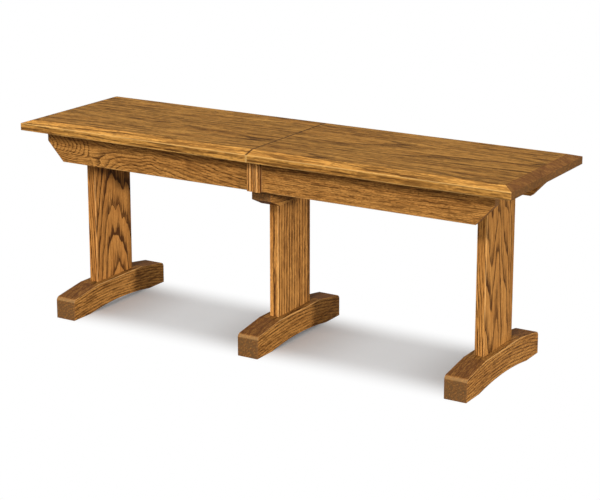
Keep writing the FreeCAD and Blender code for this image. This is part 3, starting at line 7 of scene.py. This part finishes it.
import bpy
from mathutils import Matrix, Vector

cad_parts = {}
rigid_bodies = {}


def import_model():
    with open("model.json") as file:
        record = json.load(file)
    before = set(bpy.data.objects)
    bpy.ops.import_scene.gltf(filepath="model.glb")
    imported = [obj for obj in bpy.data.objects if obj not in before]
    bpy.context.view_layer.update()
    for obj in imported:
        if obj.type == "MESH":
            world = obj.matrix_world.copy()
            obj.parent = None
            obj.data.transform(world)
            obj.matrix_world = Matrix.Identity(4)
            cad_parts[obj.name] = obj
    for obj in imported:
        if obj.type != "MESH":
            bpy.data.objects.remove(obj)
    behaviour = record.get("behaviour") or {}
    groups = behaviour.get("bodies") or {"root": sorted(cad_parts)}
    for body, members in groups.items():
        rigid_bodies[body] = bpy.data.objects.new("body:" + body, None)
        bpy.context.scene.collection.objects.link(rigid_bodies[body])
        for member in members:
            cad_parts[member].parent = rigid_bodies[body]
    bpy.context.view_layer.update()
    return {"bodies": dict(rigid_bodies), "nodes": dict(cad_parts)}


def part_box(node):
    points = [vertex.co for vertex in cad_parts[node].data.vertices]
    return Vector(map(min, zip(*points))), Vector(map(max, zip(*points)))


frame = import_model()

bl_info = {
    "name": "Extending Oak Bench",
    "version": (1, 0, 0),
    "blender": (4, 5, 0),
    "location": "3D View > Sidebar > Bench",
    "description": "Stains the oak, finishes the fittings and lights the bench",
    "category": "Object",
}

SIDES = ("left", "right")
FACES = ("front", "back")
LEGS = ("left", "centre", "right")
MILLIMETRES = 1000  # millimetres in a metre
BEVEL_DEPTH = 7.5  # drop of the top's bevel at its outer edge, in millimetres
TOP_BOARD = 88.9  # width of the boards glued into the top, in millimetres
# The paler edge is partly wear and partly a painted highlight on the arris.
PALE_EDGE_WIDTH = 3.0  # width of the paler edge of a piece, in millimetres
FLECK_WIDTH = 2.4  # width of a fleck of stain, in millimetres
WANDER_CELL = (300, 60, 60)  # cell of the slow drift of the rings, in millimetres
WANDER_REACH = 20  # how far the rings drift, in millimetres
RIPPLE_CELL = (70, 12, 12)  # cell of the small waves of a ring, in millimetres
RIPPLE_REACH = 1.6  # height of those waves, in millimetres
FLAME_CELL = (42, 2.2, 2.2)  # cell of the feathered edge of a ring, in millimetres
BOARD_JUMP = 2600  # span along the tree from which glued boards are cut, in millimetres
NOISE_SPAN = 60  # how far from the noise's origin the seeds' points lie
GLOW_EDGE = 0.02  # the floor's glow fades in this far either side of an end foot's middle, in metres
BAY_EDGE = (0.04, 0.22)  # distances from a foot's middle between which the shadow gets lighter, in metres
FRAME_WIDTH = 36  # width of the camera's frame, in millimetres
WHITE = (1, 1, 1, 1)
MIX_A = 6  # a Mix node's first colour
MIX_B = 7  # a Mix node's second colour
MIX_RESULT = 2  # a Mix node's colour output
SUN_UNIT = math.pi  # strength of a sun lamp that shows a white face as white


# Shader maths


class Wire:
    """A node's output. Arithmetic on it adds Math nodes."""

    def __init__(self, paint, socket):
        self.paint = paint
        self.socket = socket

    def __add__(self, other):
        return sums("ADD", self, other)

    __radd__ = __add__

    def __sub__(self, other):
        return sums("SUBTRACT", self, other)

    def __rsub__(self, other):
        return sums("SUBTRACT", other, self)

    def __mul__(self, other):
        return sums("MULTIPLY", self, other)

    __rmul__ = __mul__

    def __truediv__(self, other):
        return sums("DIVIDE", self, other)

    def __rtruediv__(self, other):
        return sums("DIVIDE", other, self)

    def __abs__(self):
        return sums("ABSOLUTE", self)


class Paint:
    """The node tree of a material or of the world."""

    def __init__(self, block):
        self.block = block
        self.block.use_nodes = True
        self.tree = self.block.node_tree
        self.tree.nodes.clear()

    def node(self, kind, settings=None, inputs=None, output=0):
        """Adds a node: its settings first, then the values or wires of its sockets.

        It gives the named or numbered output, or nothing for a node without outputs.
        """
        item = self.tree.nodes.new("ShaderNode" + kind)
        for name, setting in (settings or {}).items():
            setattr(item, name, setting)
        for name, value in (inputs or {}).items():
            if isinstance(value, Wire):
                self.tree.links.new(value.socket, item.inputs[name])
            else:
                item.inputs[name].default_value = value
        if item.outputs:
            return Wire(self, item.outputs[output])

    def split(self, vector):
        """The three numbers of a vector."""
        item = self.node("SeparateXYZ", inputs={"Vector": vector}).socket.node
        return [Wire(self, socket) for socket in item.outputs]

    def join(self, x, y, z):
        return self.node("CombineXYZ", inputs={"X": x, "Y": y, "Z": z})

    def spots(self):
        """Where a point lies on the closed bench: three numbers in millimetres."""
        return [spot * MILLIMETRES for spot in self.split(self.node("TexCoord", output="Object"))]

    def noise(self, place, cell, seed, detail=2):
        """Soft noise from 0 to 1 whose cells have the given three sizes."""
        scaled = self.node("VectorMath", {"operation": "DIVIDE"}, {0: place, 1: cell})
        moved = self.node("VectorMath", {"operation": "ADD"}, {0: scaled, 1: scatter(seed)})
        return self.node("TexNoise", inputs={"Vector": moved, "Scale": 1, "Detail": detail})

    def fibres(self, place, length, width, seed, start, end, detail=2):
        """Streaks along the grain: 0 where their noise is at start, and 1 where it is at end."""
        return fade(self.noise(place, (length, width, width), seed, detail), start, end)

    def chance(self, number):
        """An even random number from 0 to 1 for each whole number."""
        return self.node("TexWhiteNoise", {"noise_dimensions": "1D"}, {"W": number})

    def mix(self, share, first, second):
        """The first colour with a share of the second."""
        inputs = {0: share, MIX_A: first, MIX_B: second}
        return self.node("Mix", {"data_type": "RGBA"}, inputs, MIX_RESULT)

    def shine(self, constants, wires, height, depth):
        """Ends the tree in a Principled shader, with a bump of the given depth in metres."""
        bump = self.node("Bump", inputs={"Height": height, "Distance": depth})
        shader = self.node("BsdfPrincipled", inputs={**constants, **wires, "Normal": bump})
        self.node("OutputMaterial", inputs={"Surface": shader})
        return self.block


def sums(operation, *values):
    """A Math node on wires and numbers."""
    paint = next(value.paint for value in values if isinstance(value, Wire))
    return paint.node("Math", {"operation": operation}, dict(enumerate(values)))


def least(first, second):
    return sums("MINIMUM", first, second)


def most(first, second):
    return sums("MAXIMUM", first, second)


def fade(value, start, end):
    """0 at start and 1 at end, with a soft curve between them."""
    inputs = {"Value": value, "From Min": start, "From Max": end}
    return value.paint.node("MapRange", {"interpolation_type": "SMOOTHSTEP"}, inputs)


def scatter(seed):
    """A far point of the noise for each seed."""
    draw = random.Random(seed)
    return tuple(draw.uniform(-NOISE_SPAN, NOISE_SPAN) for _ in range(3))


def middle_of(node):
    """The middle of a node's box in millimetres."""
    low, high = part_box(node)
    return [MILLIMETRES * (a + b) / 2 for a, b in zip(low, high)]


def arris(spots, node, width):
    """1 on the edges of a node's box and 0 at the given width from them."""
    low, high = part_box(node)
    depths = []
    for spot, a, b, middle in zip(spots, low, high, middle_of(node)):
        depths.append(MILLIMETRES * (b - a) / 2 - abs(spot - middle))
    first, second, third = depths
    inner = most(least(first, second), least(most(first, second), third))
    return fade(inner, width, 0)


# Finishes


def glued_boards(paint, spot, width, seed):
    """Cuts a panel into boards, each with wood from another place and a shade of its own."""
    along, side, rise = spot
    strip = sums("FLOOR", side / width)
    along = along + paint.chance(strip + seed) * BOARD_JUMP
    side = side - (strip + 0.5) * width + (paint.chance(strip + seed + 31) - 0.5) * width
    return (along, side, rise), 0.9 + paint.chance(strip + seed + 57) * 0.2


def early_wood(paint, spot, place, heart, ring, lean, fold, drift, seed):
    """The dark band at the start of each year, feathered along the grain like flames."""
    along, side, rise = spot
    wander = (paint.noise(place, WANDER_CELL, seed) - 0.5) * WANDER_REACH
    ripple = (paint.noise(place, RIPPLE_CELL, seed + 5) - 0.5) * RIPPLE_REACH
    flame = paint.noise(place, FLAME_CELL, seed + 7)
    reach = paint.join(side - heart[0] + wander, rise - heart[1] + wander, 0)
    radius = paint.node("VectorMath", {"operation": "LENGTH"}, {0: reach}, "Value")
    if drift:
        radius = radius + drift(along, rise)
    if fold:
        height, width, crest = fold
        radius = radius + sums("COSINE", (rise - crest) * (2 * math.pi / width)) * height
    years = (radius + along * lean + ripple) / ring
    year = sums("FLOOR", years)
    phase = years - year
    strong = fade(paint.chance(year + seed), 0, 0.8) * 0.45 + 0.55
    tail = fade(flame, 0.3, 0.7) * 0.7 + 0.15
    return most(fade(phase / tail, 1, 0.1), fade(phase, 0.95, 1)) * strong


def oak(node, grain, heart, ring, seed, lean=0.02, fold=None, drift=None, tone=(1, 1, 1), figure=1.0,
        flecks=0.6, coarse=1.0, board=None, extra=None):
    """Stains a node as oak whose fibres follow the grain axis.

    heart is where the middle of the tree lies from the middle of the node, across the grain.
    ring is the width of a year and lean its drift along the board. fold is the height, width and
    place of a wave across the board, and drift gives the rings a figure of their own. figure and
    flecks say how dark the rings and the flecks are, and coarse widens the flecks. board is the
    width of the boards of a glued panel. extra gives masks with colours that lie over the wood,
    and a gain in brightness. Lengths are in millimetres.
    """
    finish = bpy.context.scene.bench_finish
    paint = Paint(bpy.data.materials.new(node))
    spots = paint.spots()
    normal = paint.split(paint.node("TexCoord", output="Normal"))
    axis = "XYZ".index(grain)
    order = [axis] + [index for index in range(3) if index != axis]
    centre = middle_of(node)
    spot = [spots[index] - centre[index] for index in order]
    gain = 1.0
    if board:
        spot, gain = glued_boards(paint, spot, board, seed)
    place = paint.join(*spot)
    early = early_wood(paint, spot, place, heart, ring, lean, fold, drift, seed)

    wide = FLECK_WIDTH * coarse
    dash = paint.fibres(place, wide * 9, wide, seed + 9, 0.43, 0.57)
    speck = paint.fibres(place, wide * 2.6, wide * 0.7, seed + 15, 0.5, 0.66, detail=0)
    streak = paint.fibres(place, wide * 36, wide * 2, seed + 11, 0.38, 0.62, detail=3)
    pore = paint.fibres(place, 8, 0.55, seed + 13, 0.55, 0.68, detail=1)
    cloud = paint.fibres(place, 220, 34, seed + 17, 0.3, 0.7)
    dark = early * (0.62 + dash * 0.38) * figure
    pores = pore * (0.25 + early * 0.75)
    steep = abs(normal[axis])
    end = fade(steep, 0.5, 0.85)
    sloped = fade(steep, 0.08, 0.16)
    uneven = fade(paint.noise(place, RIPPLE_CELL, seed + 5), 0.25, 0.55)
    # Paler edges: partly stain rubbed thin, partly a painted highlight where the rounded arrises catch the
    # light.
    rubbed = arris(spots, node, PALE_EDGE_WIDTH) * uneven * (1 - sloped)

    layers = [
        (cloud * 0.4 + streak * 0.6, finish.oak_mid),
        (most(dash * (0.3 + streak * 0.7), speck * 0.7) * flecks, finish.oak_ring),
        (least(dark, 0.92), finish.oak_ring),
        (pores * 0.5, finish.oak_pore_and_shade),
        (sloped * (0.4 + dash * 0.5), finish.oak_slope),
        (end * (0.12 + dash * 0.3 + streak * 0.5 + speck * 0.15), finish.oak_end),
        (rubbed * 0.5, finish.oak_worn_and_highlight),
    ]
    # The extra masks and gain of the top, caps, posts and feet hold painted highlights, sheen and shade.
    if extra:
        marks, more = extra(finish, spots, normal)
        layers += marks
        gain = gain * more
    base = finish.oak_light
    for share, cover in layers:
        base = paint.mix(share, base, cover)
    base = paint.node("VectorMath", {"operation": "SCALE"}, {0: base, "Scale": gain})
    base = paint.node("VectorMath", {"operation": "MULTIPLY"}, {0: base, 1: tone})

    constants = {"Specular IOR Level": finish.oak_gloss, "Coat Roughness": 0.3}
    wires = {
        "Base Color": base,
        "Roughness": 0.42 + dark * 0.12 + pores * 0.2,
        "Coat Weight": 0.06 - pores * 0.05,
    }
    dress(node, paint.shine(constants, wires, height=0 - pores - dark * 0.25, depth=0.00035))


def plain_wood(name, light, deep, grain, seed):
    """Bare wood with fine grain, for the pieces under the top."""
    paint = Paint(bpy.data.materials.new(name))
    place = paint.join(*paint.spots())
    pore_cell = [9.0 if axis == grain else 0.6 for axis in "XYZ"]
    band_cell = [180.0 if axis == grain else 7.0 for axis in "XYZ"]
    band = fade(paint.noise(place, band_cell, seed), 0.3, 0.7)
    pore = fade(paint.noise(place, pore_cell, seed + 3, 1), 0.52, 0.7)
    base = paint.mix(band * 0.8 + pore * 0.4, light, deep)
    wires = {"Base Color": base, "Roughness": 0.6 + pore * 0.2}
    return paint.shine({"Specular IOR Level": 0.2}, wires, height=0 - pore, depth=0.0002)


def metal(name, bright, dull, rough, seed):
    """Brushed metal with handling marks."""
    paint = Paint(bpy.data.materials.new(name))
    place = paint.join(*paint.spots())
    brush = paint.noise(place, (14, 0.3, 0.3), seed)
    cloud = fade(paint.noise(place, (12, 12, 12), seed + 4), 0.35, 0.7)
    wires = {
        "Base Color": paint.mix(cloud * 0.6 + brush * 0.2, bright, dull),
        "Metallic": 1 - cloud * 0.12,
        "Roughness": rough + cloud * 0.15 + brush * 0.1,
    }
    return paint.shine({}, wires, height=brush, depth=0.00005)


def moulded(name, light, deep, seed):
    """Moulded plastic with a fine matt skin."""
    paint = Paint(bpy.data.materials.new(name))
    place = paint.join(*paint.spots())
    skin = paint.noise(place, (0.7, 0.7, 0.7), seed, 1)
    cloud = paint.noise(place, (18, 18, 18), seed + 2)
    base = paint.mix(cloud * 0.5 + skin * 0.2, light, deep)
    wires = {"Base Color": base, "Roughness": 0.45 + skin * 0.2}
    return paint.shine({}, wires, height=skin, depth=0.0001)


def dress(node, material):
    """Gives a node one finish in all its material slots."""
    for slot in frame["nodes"][node].material_slots:
        slot.link = "OBJECT"
        slot.material = material


# Sizes and colours that a user would change


def colour(name, description, default):
    return bpy.props.FloatVectorProperty(
        name=name, description=description, default=default, subtype="COLOR", size=4, min=0, max=1)


def level(name, description, default):
    return bpy.props.FloatProperty(name=name, description=description, default=default, min=0)


class BenchFinish(bpy.types.PropertyGroup):
    """Colours and gloss of the bench."""

    oak_light: colour("Oak light", "Stained oak between the rings", (0.62, 0.285, 0.068, 1))
    oak_mid: colour("Oak mid", "Stained oak in broad clouds", (0.44, 0.183, 0.04, 1))
    oak_ring: colour("Oak ring", "Dark porous band of a year", (0.062, 0.021, 0.006, 1))
    # Dark pore colour: stain in the pores and the seam, and also painted shade in the grooves between the
    # reeds of the caps.
    oak_pore_and_shade: colour("Oak pore", "Stain caught in the open pores", (0.05, 0.018, 0.007, 1))
    oak_slope: colour("Oak slope", "Stain on faces cut at a slant", (0.2, 0.075, 0.025, 1))
    oak_end: colour("Oak end grain", "Stained ends of the boards", (0.17, 0.09, 0.035, 1))
    # Paler edge colour: stain rubbed thin on the edges, and also a painted highlight on arrises, bevel
    # edges, reed crests and the rounded ends of the feet.
    oak_worn_and_highlight: colour("Oak edge", "Stain rubbed thin on the edges", (0.75, 0.42, 0.15, 1))
    oak_gloss: bpy.props.FloatProperty(
        name="Oak gloss", description="Specular level of the satin finish", default=0.0, min=0, max=1,
        subtype="FACTOR")
    bare_light: colour("Bare oak light", "Unstained oak of the slides", (0.5, 0.35, 0.19, 1))
    bare_deep: colour("Bare oak deep", "Darker bands of the unstained oak", (0.36, 0.23, 0.11, 1))
    maple_light: colour("Maple light", "Maple of the racks and pegs", (0.64, 0.48, 0.3, 1))
    maple_deep: colour("Maple deep", "Darker bands of the maple", (0.52, 0.36, 0.2, 1))
    nylon_light: colour("Nylon light", "Moulded nylon of the pinion", (0.76, 0.73, 0.65, 1))
    nylon_deep: colour("Nylon deep", "Darker clouds in the nylon", (0.66, 0.62, 0.53, 1))
    steel: colour("Steel", "Bright steel of the axle and the screws", (0.56, 0.56, 0.57, 1))
    axle_dull: colour("Axle dull", "Handled steel of the axle", (0.4, 0.4, 0.4, 1))
    screw_dull: colour("Screw dull", "Handled steel of the screws", (0.36, 0.35, 0.33, 1))
    brass: colour("Brass", "Bright brass of the lock", (0.66, 0.48, 0.2, 1))
    brass_dull: colour("Brass dull", "Handled brass of the lock", (0.4, 0.26, 0.1, 1))


class BenchStage(bpy.types.PropertyGroup):
    """Floor, lamps and camera."""

    floor_size: bpy.props.FloatProperty(
        name="Floor size", description="Side of the square floor", default=40, unit="LENGTH")
    floor_bounce: colour("Floor bounce", "Floor colour that lights the bench", (0.42, 0.41, 0.4, 1))
    sky: level("Sky", "Brightness of the even light from all round", 0.6)
    overhead: level("Overhead sun", "Brightness of the wide sun above the bench", 0.2)
    front: level("Front sun", "Brightness of the sun in front of the bench", 0.72)
    side: level("Side sun", "Brightness of the low sun at the right", 0.76)
    camera_place: bpy.props.FloatVectorProperty(
        name="Camera place", description="Where the camera stands", default=(1.972, -3.2104, 1.3034),
        size=3, subtype="TRANSLATION", unit="LENGTH")
    camera_tilt: bpy.props.FloatProperty(
        name="Camera tilt", description="Angle by which the camera looks down",
        default=math.radians(13.77), subtype="ANGLE")
    camera_turn: bpy.props.FloatProperty(
        name="Camera turn", description="Turn of the camera to the left",
        default=math.radians(31.23), subtype="ANGLE")
    camera_lens: bpy.props.FloatProperty(
        name="Camera lens", description="Focal length on a frame 36 mm wide", default=106.2, min=1,
        subtype="DISTANCE_CAMERA")
    camera_shift: bpy.props.FloatProperty(
        name="Camera shift", description="Shift that keeps the posts near upright, in picture widths",
        default=-0.1333)


# Pieces


def top_marks(finish, spots, normal):
    """The closed seam; a painted highlight along the lower edge of the front and back bevels; the front and
    back bevels and edges painted brighter, as front-lit faces; red and dark ends.
    """
    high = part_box("top_left")[1]
    edge = high[2] * MILLIMETRES - BEVEL_DEPTH
    face = high[1] * MILLIMETRES
    facing = fade(abs(normal[1]), 0.1, 0.2)
    ending = fade(abs(normal[0]), 0.1, 0.2)
    bevel = facing * fade(normal[2], 0.3, 0.8)
    # Painted highlight along the lower edge of the bevels.
    bevel_highlight = fade(abs(abs(spots[1]) - face) + abs(spots[2] - edge), 2.4, 0.6)
    seam = fade(abs(spots[0]), 3.4, 1.2)
    marks = [
        (bevel_highlight * 0.5, finish.oak_worn_and_highlight),
        (seam * fade(normal[2], 0.3, 0.9) * 0.9, finish.oak_pore_and_shade),
        (seam * fade(normal[2], 0.9, 0.3) * 0.5, finish.oak_worn_and_highlight),
        (ending * 0.5, finish.oak_slope),
    ]
    # Gain: painted light that makes the front and back edges and bevels brighter than the flat top.
    return marks, 1 + facing * 0.3 + bevel * 0.22


def reed_marks(finish, spots, normal):
    """Painted shade in the grooves between the reeds of a cap, and a painted highlight on their crests."""
    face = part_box("seam_cap_back_left")[1][1] * MILLIMETRES
    depth = abs(spots[1])
    marks = [
        # Painted highlight on the crests, and painted shade in the grooves between them.
        (fade(depth, face - 0.6, face - 0.1) * 0.45, finish.oak_worn_and_highlight),
        (fade(depth, face - 0.5, face - 1.8) * 0.8, finish.oak_pore_and_shade),
    ]
    return marks, 1


def post_marks(finish, spots, normal):
    """Painted light and shade: the narrow front and back faces of a post are painted brighter than the wide
    ones, as front-lit faces.
    """
    return [], 0.87 + fade(abs(normal[1]), 0.3, 0.9) * 0.24


def foot_marks(finish, spots, normal):
    """Painted sheen on the rounding over each end of a foot, and painted shade that darkens its upper faces
    under the top.
    """
    nose_sheen = fade(normal[2], 0.12, 0.3) * fade(normal[2], 0.93, 0.75)
    # The pale band is a painted sheen; the gain darkens upward faces as painted shade.
    return [(nose_sheen * 0.28, finish.oak_worn_and_highlight)], 1 - fade(normal[2], 0.9, 0.97) * 0.25


def foot_figure(along, rise):
    """Rings that rise to the middle of the foot, as its upper edge does."""
    return along * along * 0.0006


def apron_figure(along, rise):
    """Arcs at the outer end, a calm stretch, and a crest from which lines fall to the cap."""
    outer = fade(along, -130, -200)
    arcs = least(along + 150, 0) * 0.27 + (rise - 8) * (rise - 8) * outer * 0.009
    crest = fade(abs(along - 15), 30, 0)
    fall = rise - crest * 5 + most(along - 15, 0) * 0.1
    return arcs + fall * fade(along, -150, -30) * 0.5


class BENCH_OT_tops(bpy.types.Operator):
    """Stain the two halves of the top as panels of glued boards"""

    bl_idname = "bench.tops"
    bl_label = "Top halves"

    def execute(self, context):
        for number, side in enumerate(SIDES):
            oak("top_" + side, "X", (6, -90), ring=7.0, seed=40 + number, tone=(0.7, 0.74, 0.68),
                figure=0.8, flecks=0.62, coarse=2.0, board=TOP_BOARD, extra=top_marks)
        return {"FINISHED"}


class BENCH_OT_aprons(bpy.types.Operator):
    """Stain the four aprons"""

    bl_idname = "bench.aprons"
    bl_label = "Aprons"

    def execute(self, context):
        for number, face in enumerate(FACES):
            oak(f"apron_{face}_left", "X", (900, 0), ring=3.2, seed=50 + number, lean=0, drift=apron_figure,
                tone=(0.84, 0.84, 0.84))
            oak(f"apron_{face}_right", "X", (60, 110), ring=3.4, seed=54 + number, lean=0.012,
                tone=(0.86, 0.86, 0.86), figure=0.7, flecks=0.7)
        return {"FINISHED"}


class BENCH_OT_seam_caps(bpy.types.Operator):
    """Stain the reeded caps on the aprons' inner ends"""

    bl_idname = "bench.seam_caps"
    bl_label = "Seam caps"

    def execute(self, context):
        for face in FACES:
            for side in SIDES:
                oak(f"seam_cap_{face}_{side}", "Z", (30, 20), ring=2.6, seed=60, tone=(1.1, 1.05, 1.05),
                    extra=reed_marks)
        return {"FINISHED"}


class BENCH_OT_posts(bpy.types.Operator):
    """Stain the three posts, each cut from another board"""

    bl_idname = "bench.posts"
    bl_label = "Posts"

    def execute(self, context):
        oak("post_left", "Z", (-189, 12), ring=6.2, seed=71, lean=0.07, tone=(0.93, 0.88, 0.88),
            figure=1.7, flecks=0.3, extra=post_marks)
        oak("post_centre", "Z", (-90, 150), ring=9.0, seed=72, lean=0.005, tone=(1.04, 1.03, 1.05),
            figure=1.3, flecks=0.5, coarse=1.4, extra=post_marks)
        oak("post_right", "Z", (-139, -35), ring=6.0, seed=73, lean=0.06, fold=(3, 60, -42),
            tone=(0.92, 0.91, 0.93), figure=1.6, flecks=0.3, extra=post_marks)
        return {"FINISHED"}


class BENCH_OT_feet(bpy.types.Operator):
    """Stain the three feet"""

    bl_idname = "bench.feet"
    bl_label = "Feet"

    def execute(self, context):
        for number, leg in enumerate(LEGS):
            oak("foot_" + leg, "Y", (40, -60), ring=6.5, seed=80 + number, drift=foot_figure,
                tone=(0.79, 0.79, 0.8), extra=foot_marks)
        return {"FINISHED"}


class BENCH_OT_bolster(bpy.types.Operator):
    """Stain the block across the centre post"""

    bl_idname = "bench.bolster"
    bl_label = "Bolster"

    def execute(self, context):
        oak("bolster", "Y", (10, -24), ring=3.0, seed=90, tone=(0.85, 0.85, 0.85))
        return {"FINISHED"}


class BENCH_OT_slides(bpy.types.Operator):
    """Finish the slide sticks, guides, cleats and blocks in bare oak"""

    bl_idname = "bench.slides"
    bl_label = "Slides"

    def execute(self, context):
        finish = context.scene.bench_finish
        lengthwise = plain_wood("bare_oak_lengthwise", finish.bare_light, finish.bare_deep, "X", 3)
        crosswise = plain_wood("bare_oak_crosswise", finish.bare_light, finish.bare_deep, "Y", 4)
        for face in FACES:
            dress("slide_guide_" + face, lengthwise)
        for side in SIDES:
            dress("slide_inner_" + side, lengthwise)
            dress("slide_outer_" + side, lengthwise)
            dress("glue_blocks_" + side, lengthwise)
            dress("end_cleat_" + side, crosswise)
        return {"FINISHED"}


class BENCH_OT_gear(bpy.types.Operator):
    """Finish the racks, the pinion, its axle and washer, the stop pegs and the seam pins"""

    bl_idname = "bench.gear"
    bl_label = "Gear"

    def execute(self, context):
        finish = context.scene.bench_finish
        maple = plain_wood("maple", finish.maple_light, finish.maple_deep, "X", 5)
        dress("seam_pins", maple)
        for side in SIDES:
            dress("stop_pegs_" + side, maple)
            dress("rack_" + side, maple)
        dress("pinion", moulded("nylon", finish.nylon_light, finish.nylon_deep, 1))
        steel = metal("axle_steel", finish.steel, finish.axle_dull, 0.3, 6)
        dress("pinion_axle", steel)
        dress("pinion_washer", steel)
        return {"FINISHED"}


class BENCH_OT_lock(bpy.types.Operator):
    """Finish the sliding bolt, its plate and its keeper"""

    bl_idname = "bench.lock"
    bl_label = "Lock"

    def execute(self, context):
        finish = context.scene.bench_finish
        brass = metal("brass", finish.brass, finish.brass_dull, 0.3, 7)
        for node in ("lock_plate", "lock_bolt", "lock_keeper"):
            dress(node, brass)
        return {"FINISHED"}


class BENCH_OT_screws(bpy.types.Operator):
    """Finish the screws in zinc-plated steel"""

    bl_idname = "bench.screws"
    bl_label = "Screws"

    def execute(self, context):
        finish = context.scene.bench_finish
        steel = metal("screw_steel", finish.steel, finish.screw_dull, 0.34, 8)
        for node in frame["nodes"]:
            if "screws" in node:
                dress(node, steel)
        return {"FINISHED"}


# Stage


def backdrop_share(paint):
    """1 for what the camera sees directly, or in a mirror or a glass."""
    rays = paint.node("LightPath").socket.node.outputs
    direct = Wire(paint, rays["Is Camera Ray"])
    mirrored = Wire(paint, rays["Is Glossy Ray"])
    through = Wire(paint, rays["Is Transmission Ray"])
    return most(most(direct, mirrored), through)


def floor_finish(bounce, reach, depth):
    """White floor that keeps the shadow between the feet and glows white round the bench.

    bounce is the colour with which the floor lights the bench, reach the distance from the middle
    to an end foot and depth half a foot's length, in metres. A share of the glow lies in the
    shadow too, and more of it in the middle of each bay.
    """
    paint = Paint(bpy.data.materials.new("floor_white"))
    across, ahead, _ = paint.split(paint.node("TexCoord", output="Object"))
    clear = fade(abs(ahead), depth * 0.4, depth * 1.12)
    near_edge, far_edge = BAY_EDGE
    bay = fade(abs(across), near_edge, far_edge)
    for side, sign in zip(SIDES, (-1, 1)):
        settings = {"object": frame["bodies"][side + "_half"]}
        outward = paint.split(paint.node("TexCoord", settings, output="Object"))[0] * sign
        clear = most(clear, fade(outward, reach - GLOW_EDGE, reach + GLOW_EDGE))
        bay = bay * fade(outward, reach - near_edge, reach - far_edge)
    share = clear + (1 - clear) * (bay * 0.22 + 0.12)
    shown = backdrop_share(paint)
    matt = paint.node("BsdfDiffuse", inputs={"Color": bounce})
    white = paint.node("BsdfDiffuse", inputs={"Color": WHITE})
    glow = paint.node("Emission", inputs={"Color": WHITE, "Strength": 1})
    lit = paint.node("MixShader", inputs={0: shown, 1: matt, 2: white})
    both = paint.node("MixShader", inputs={0: share * shown, 1: lit, 2: glow})
    paint.node("OutputMaterial", inputs={"Surface": both})
    return paint.block


def surroundings(sky):
    """World that lights the bench evenly and that the camera sees as white."""
    paint = Paint(bpy.data.worlds.new("surroundings"))
    even = paint.node("Background", inputs={"Color": WHITE, "Strength": sky})
    white = paint.node("Background", inputs={"Color": WHITE, "Strength": 1})
    both = paint.node("MixShader", inputs={0: backdrop_share(paint), 1: even, 2: white})
    paint.node("OutputWorld", inputs={"Surface": both})
    return paint.block


def sun(name, brightness, azimuth, elevation, softness, only=None):
    """A sun lamp that shines from an azimuth, counted from the front to the right.

    Angles are in degrees. only is the collection of the pieces that it lights, if not all.
    """
    lamp = bpy.data.lights.new(name, "SUN")
    lamp.energy = brightness * SUN_UNIT
    lamp.angle = math.radians(softness)
    item = bpy.data.objects.new(name, lamp)
    item.rotation_euler = (math.radians(90 - elevation), 0, math.radians(azimuth))
    bpy.context.scene.collection.objects.link(item)
    if only:
        item.light_linking.receiver_collection = only


def floor_piece(stage):
    """The floor under the bench."""
    half = stage.floor_size / 2
    corners = [(-half, -half, 0), (half, -half, 0), (half, half, 0), (-half, half, 0)]
    mesh = bpy.data.meshes.new("floor")
    mesh.from_pydata(corners, [], [(0, 1, 2, 3)])
    low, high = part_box("foot_right")
    mesh.materials.append(floor_finish(stage.floor_bounce, (low[0] + high[0]) / 2, high[1]))
    floor = bpy.data.objects.new("floor", mesh)
    bpy.context.scene.collection.objects.link(floor)


def camera_piece(stage):
    """The camera, which stands at the photograph's viewing angle."""
    lens = bpy.data.cameras.new("camera")
    lens.sensor_width = FRAME_WIDTH
    lens.lens = stage.camera_lens
    lens.shift_y = stage.camera_shift
    lens.clip_start = 0.05
    lens.clip_end = 100
    camera = bpy.data.objects.new("camera", lens)
    camera.location = stage.camera_place
    camera.rotation_euler = (math.pi / 2 - stage.camera_tilt, 0, stage.camera_turn)
    bpy.context.scene.collection.objects.link(camera)
    bpy.context.scene.camera = camera


class BENCH_OT_stage(bpy.types.Operator):
    """Make the floor, the lamps, the white surroundings and the camera"""

    bl_idname = "bench.stage"
    bl_label = "Floor, light and camera"

    def execute(self, context):
        stage = context.scene.bench_stage
        floor_piece(stage)
        bench = bpy.data.collections.new("bench_pieces")
        for piece in frame["nodes"].values():
            bench.objects.link(piece)
        sun("overhead_sun", stage.overhead, azimuth=20, elevation=86, softness=34)
        sun("front_sun", stage.front, azimuth=12, elevation=36, softness=10, only=bench)
        sun("side_sun", stage.side, azimuth=75, elevation=7, softness=3, only=bench)
        context.scene.world = surroundings(stage.sky)
        camera_piece(stage)
        context.scene.view_settings.view_transform = "Standard"
        return {"FINISHED"}


# Sidebar


class BENCH_PT_sidebar(bpy.types.Panel):
    """Lists the steps that dress the bench"""

    bl_idname = "BENCH_PT_sidebar"
    bl_label = "Oak bench"
    bl_space_type = "VIEW_3D"
    bl_region_type = "UI"
    bl_category = "Bench"

    def draw(self, context):
        for step in STEPS:
            self.layout.operator(step.bl_idname)
        for group in (context.scene.bench_finish, context.scene.bench_stage):
            for name in group.bl_rna.properties.keys():
                if name not in ("rna_type", "name"):
                    self.layout.prop(group, name)


STEPS = (
    BENCH_OT_tops, BENCH_OT_aprons, BENCH_OT_seam_caps, BENCH_OT_posts, BENCH_OT_feet, BENCH_OT_bolster,
    BENCH_OT_slides, BENCH_OT_gear, BENCH_OT_lock, BENCH_OT_screws, BENCH_OT_stage,
)
CLASSES = (BenchFinish, BenchStage, *STEPS, BENCH_PT_sidebar)


def register():
    for item in CLASSES:
        bpy.utils.register_class(item)
    bpy.types.Scene.bench_finish = bpy.props.PointerProperty(type=BenchFinish)
    bpy.types.Scene.bench_stage = bpy.props.PointerProperty(type=BenchStage)


def unregister():
    del bpy.types.Scene.bench_stage
    del bpy.types.Scene.bench_finish
    for item in reversed(CLASSES):
        bpy.utils.unregister_class(item)


def main():
    """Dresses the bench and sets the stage."""
    register()
    for step in STEPS:
        group, name = step.bl_idname.split(".")
        getattr(getattr(bpy.ops, group), name)()


if __name__ == "__main__":
    main()
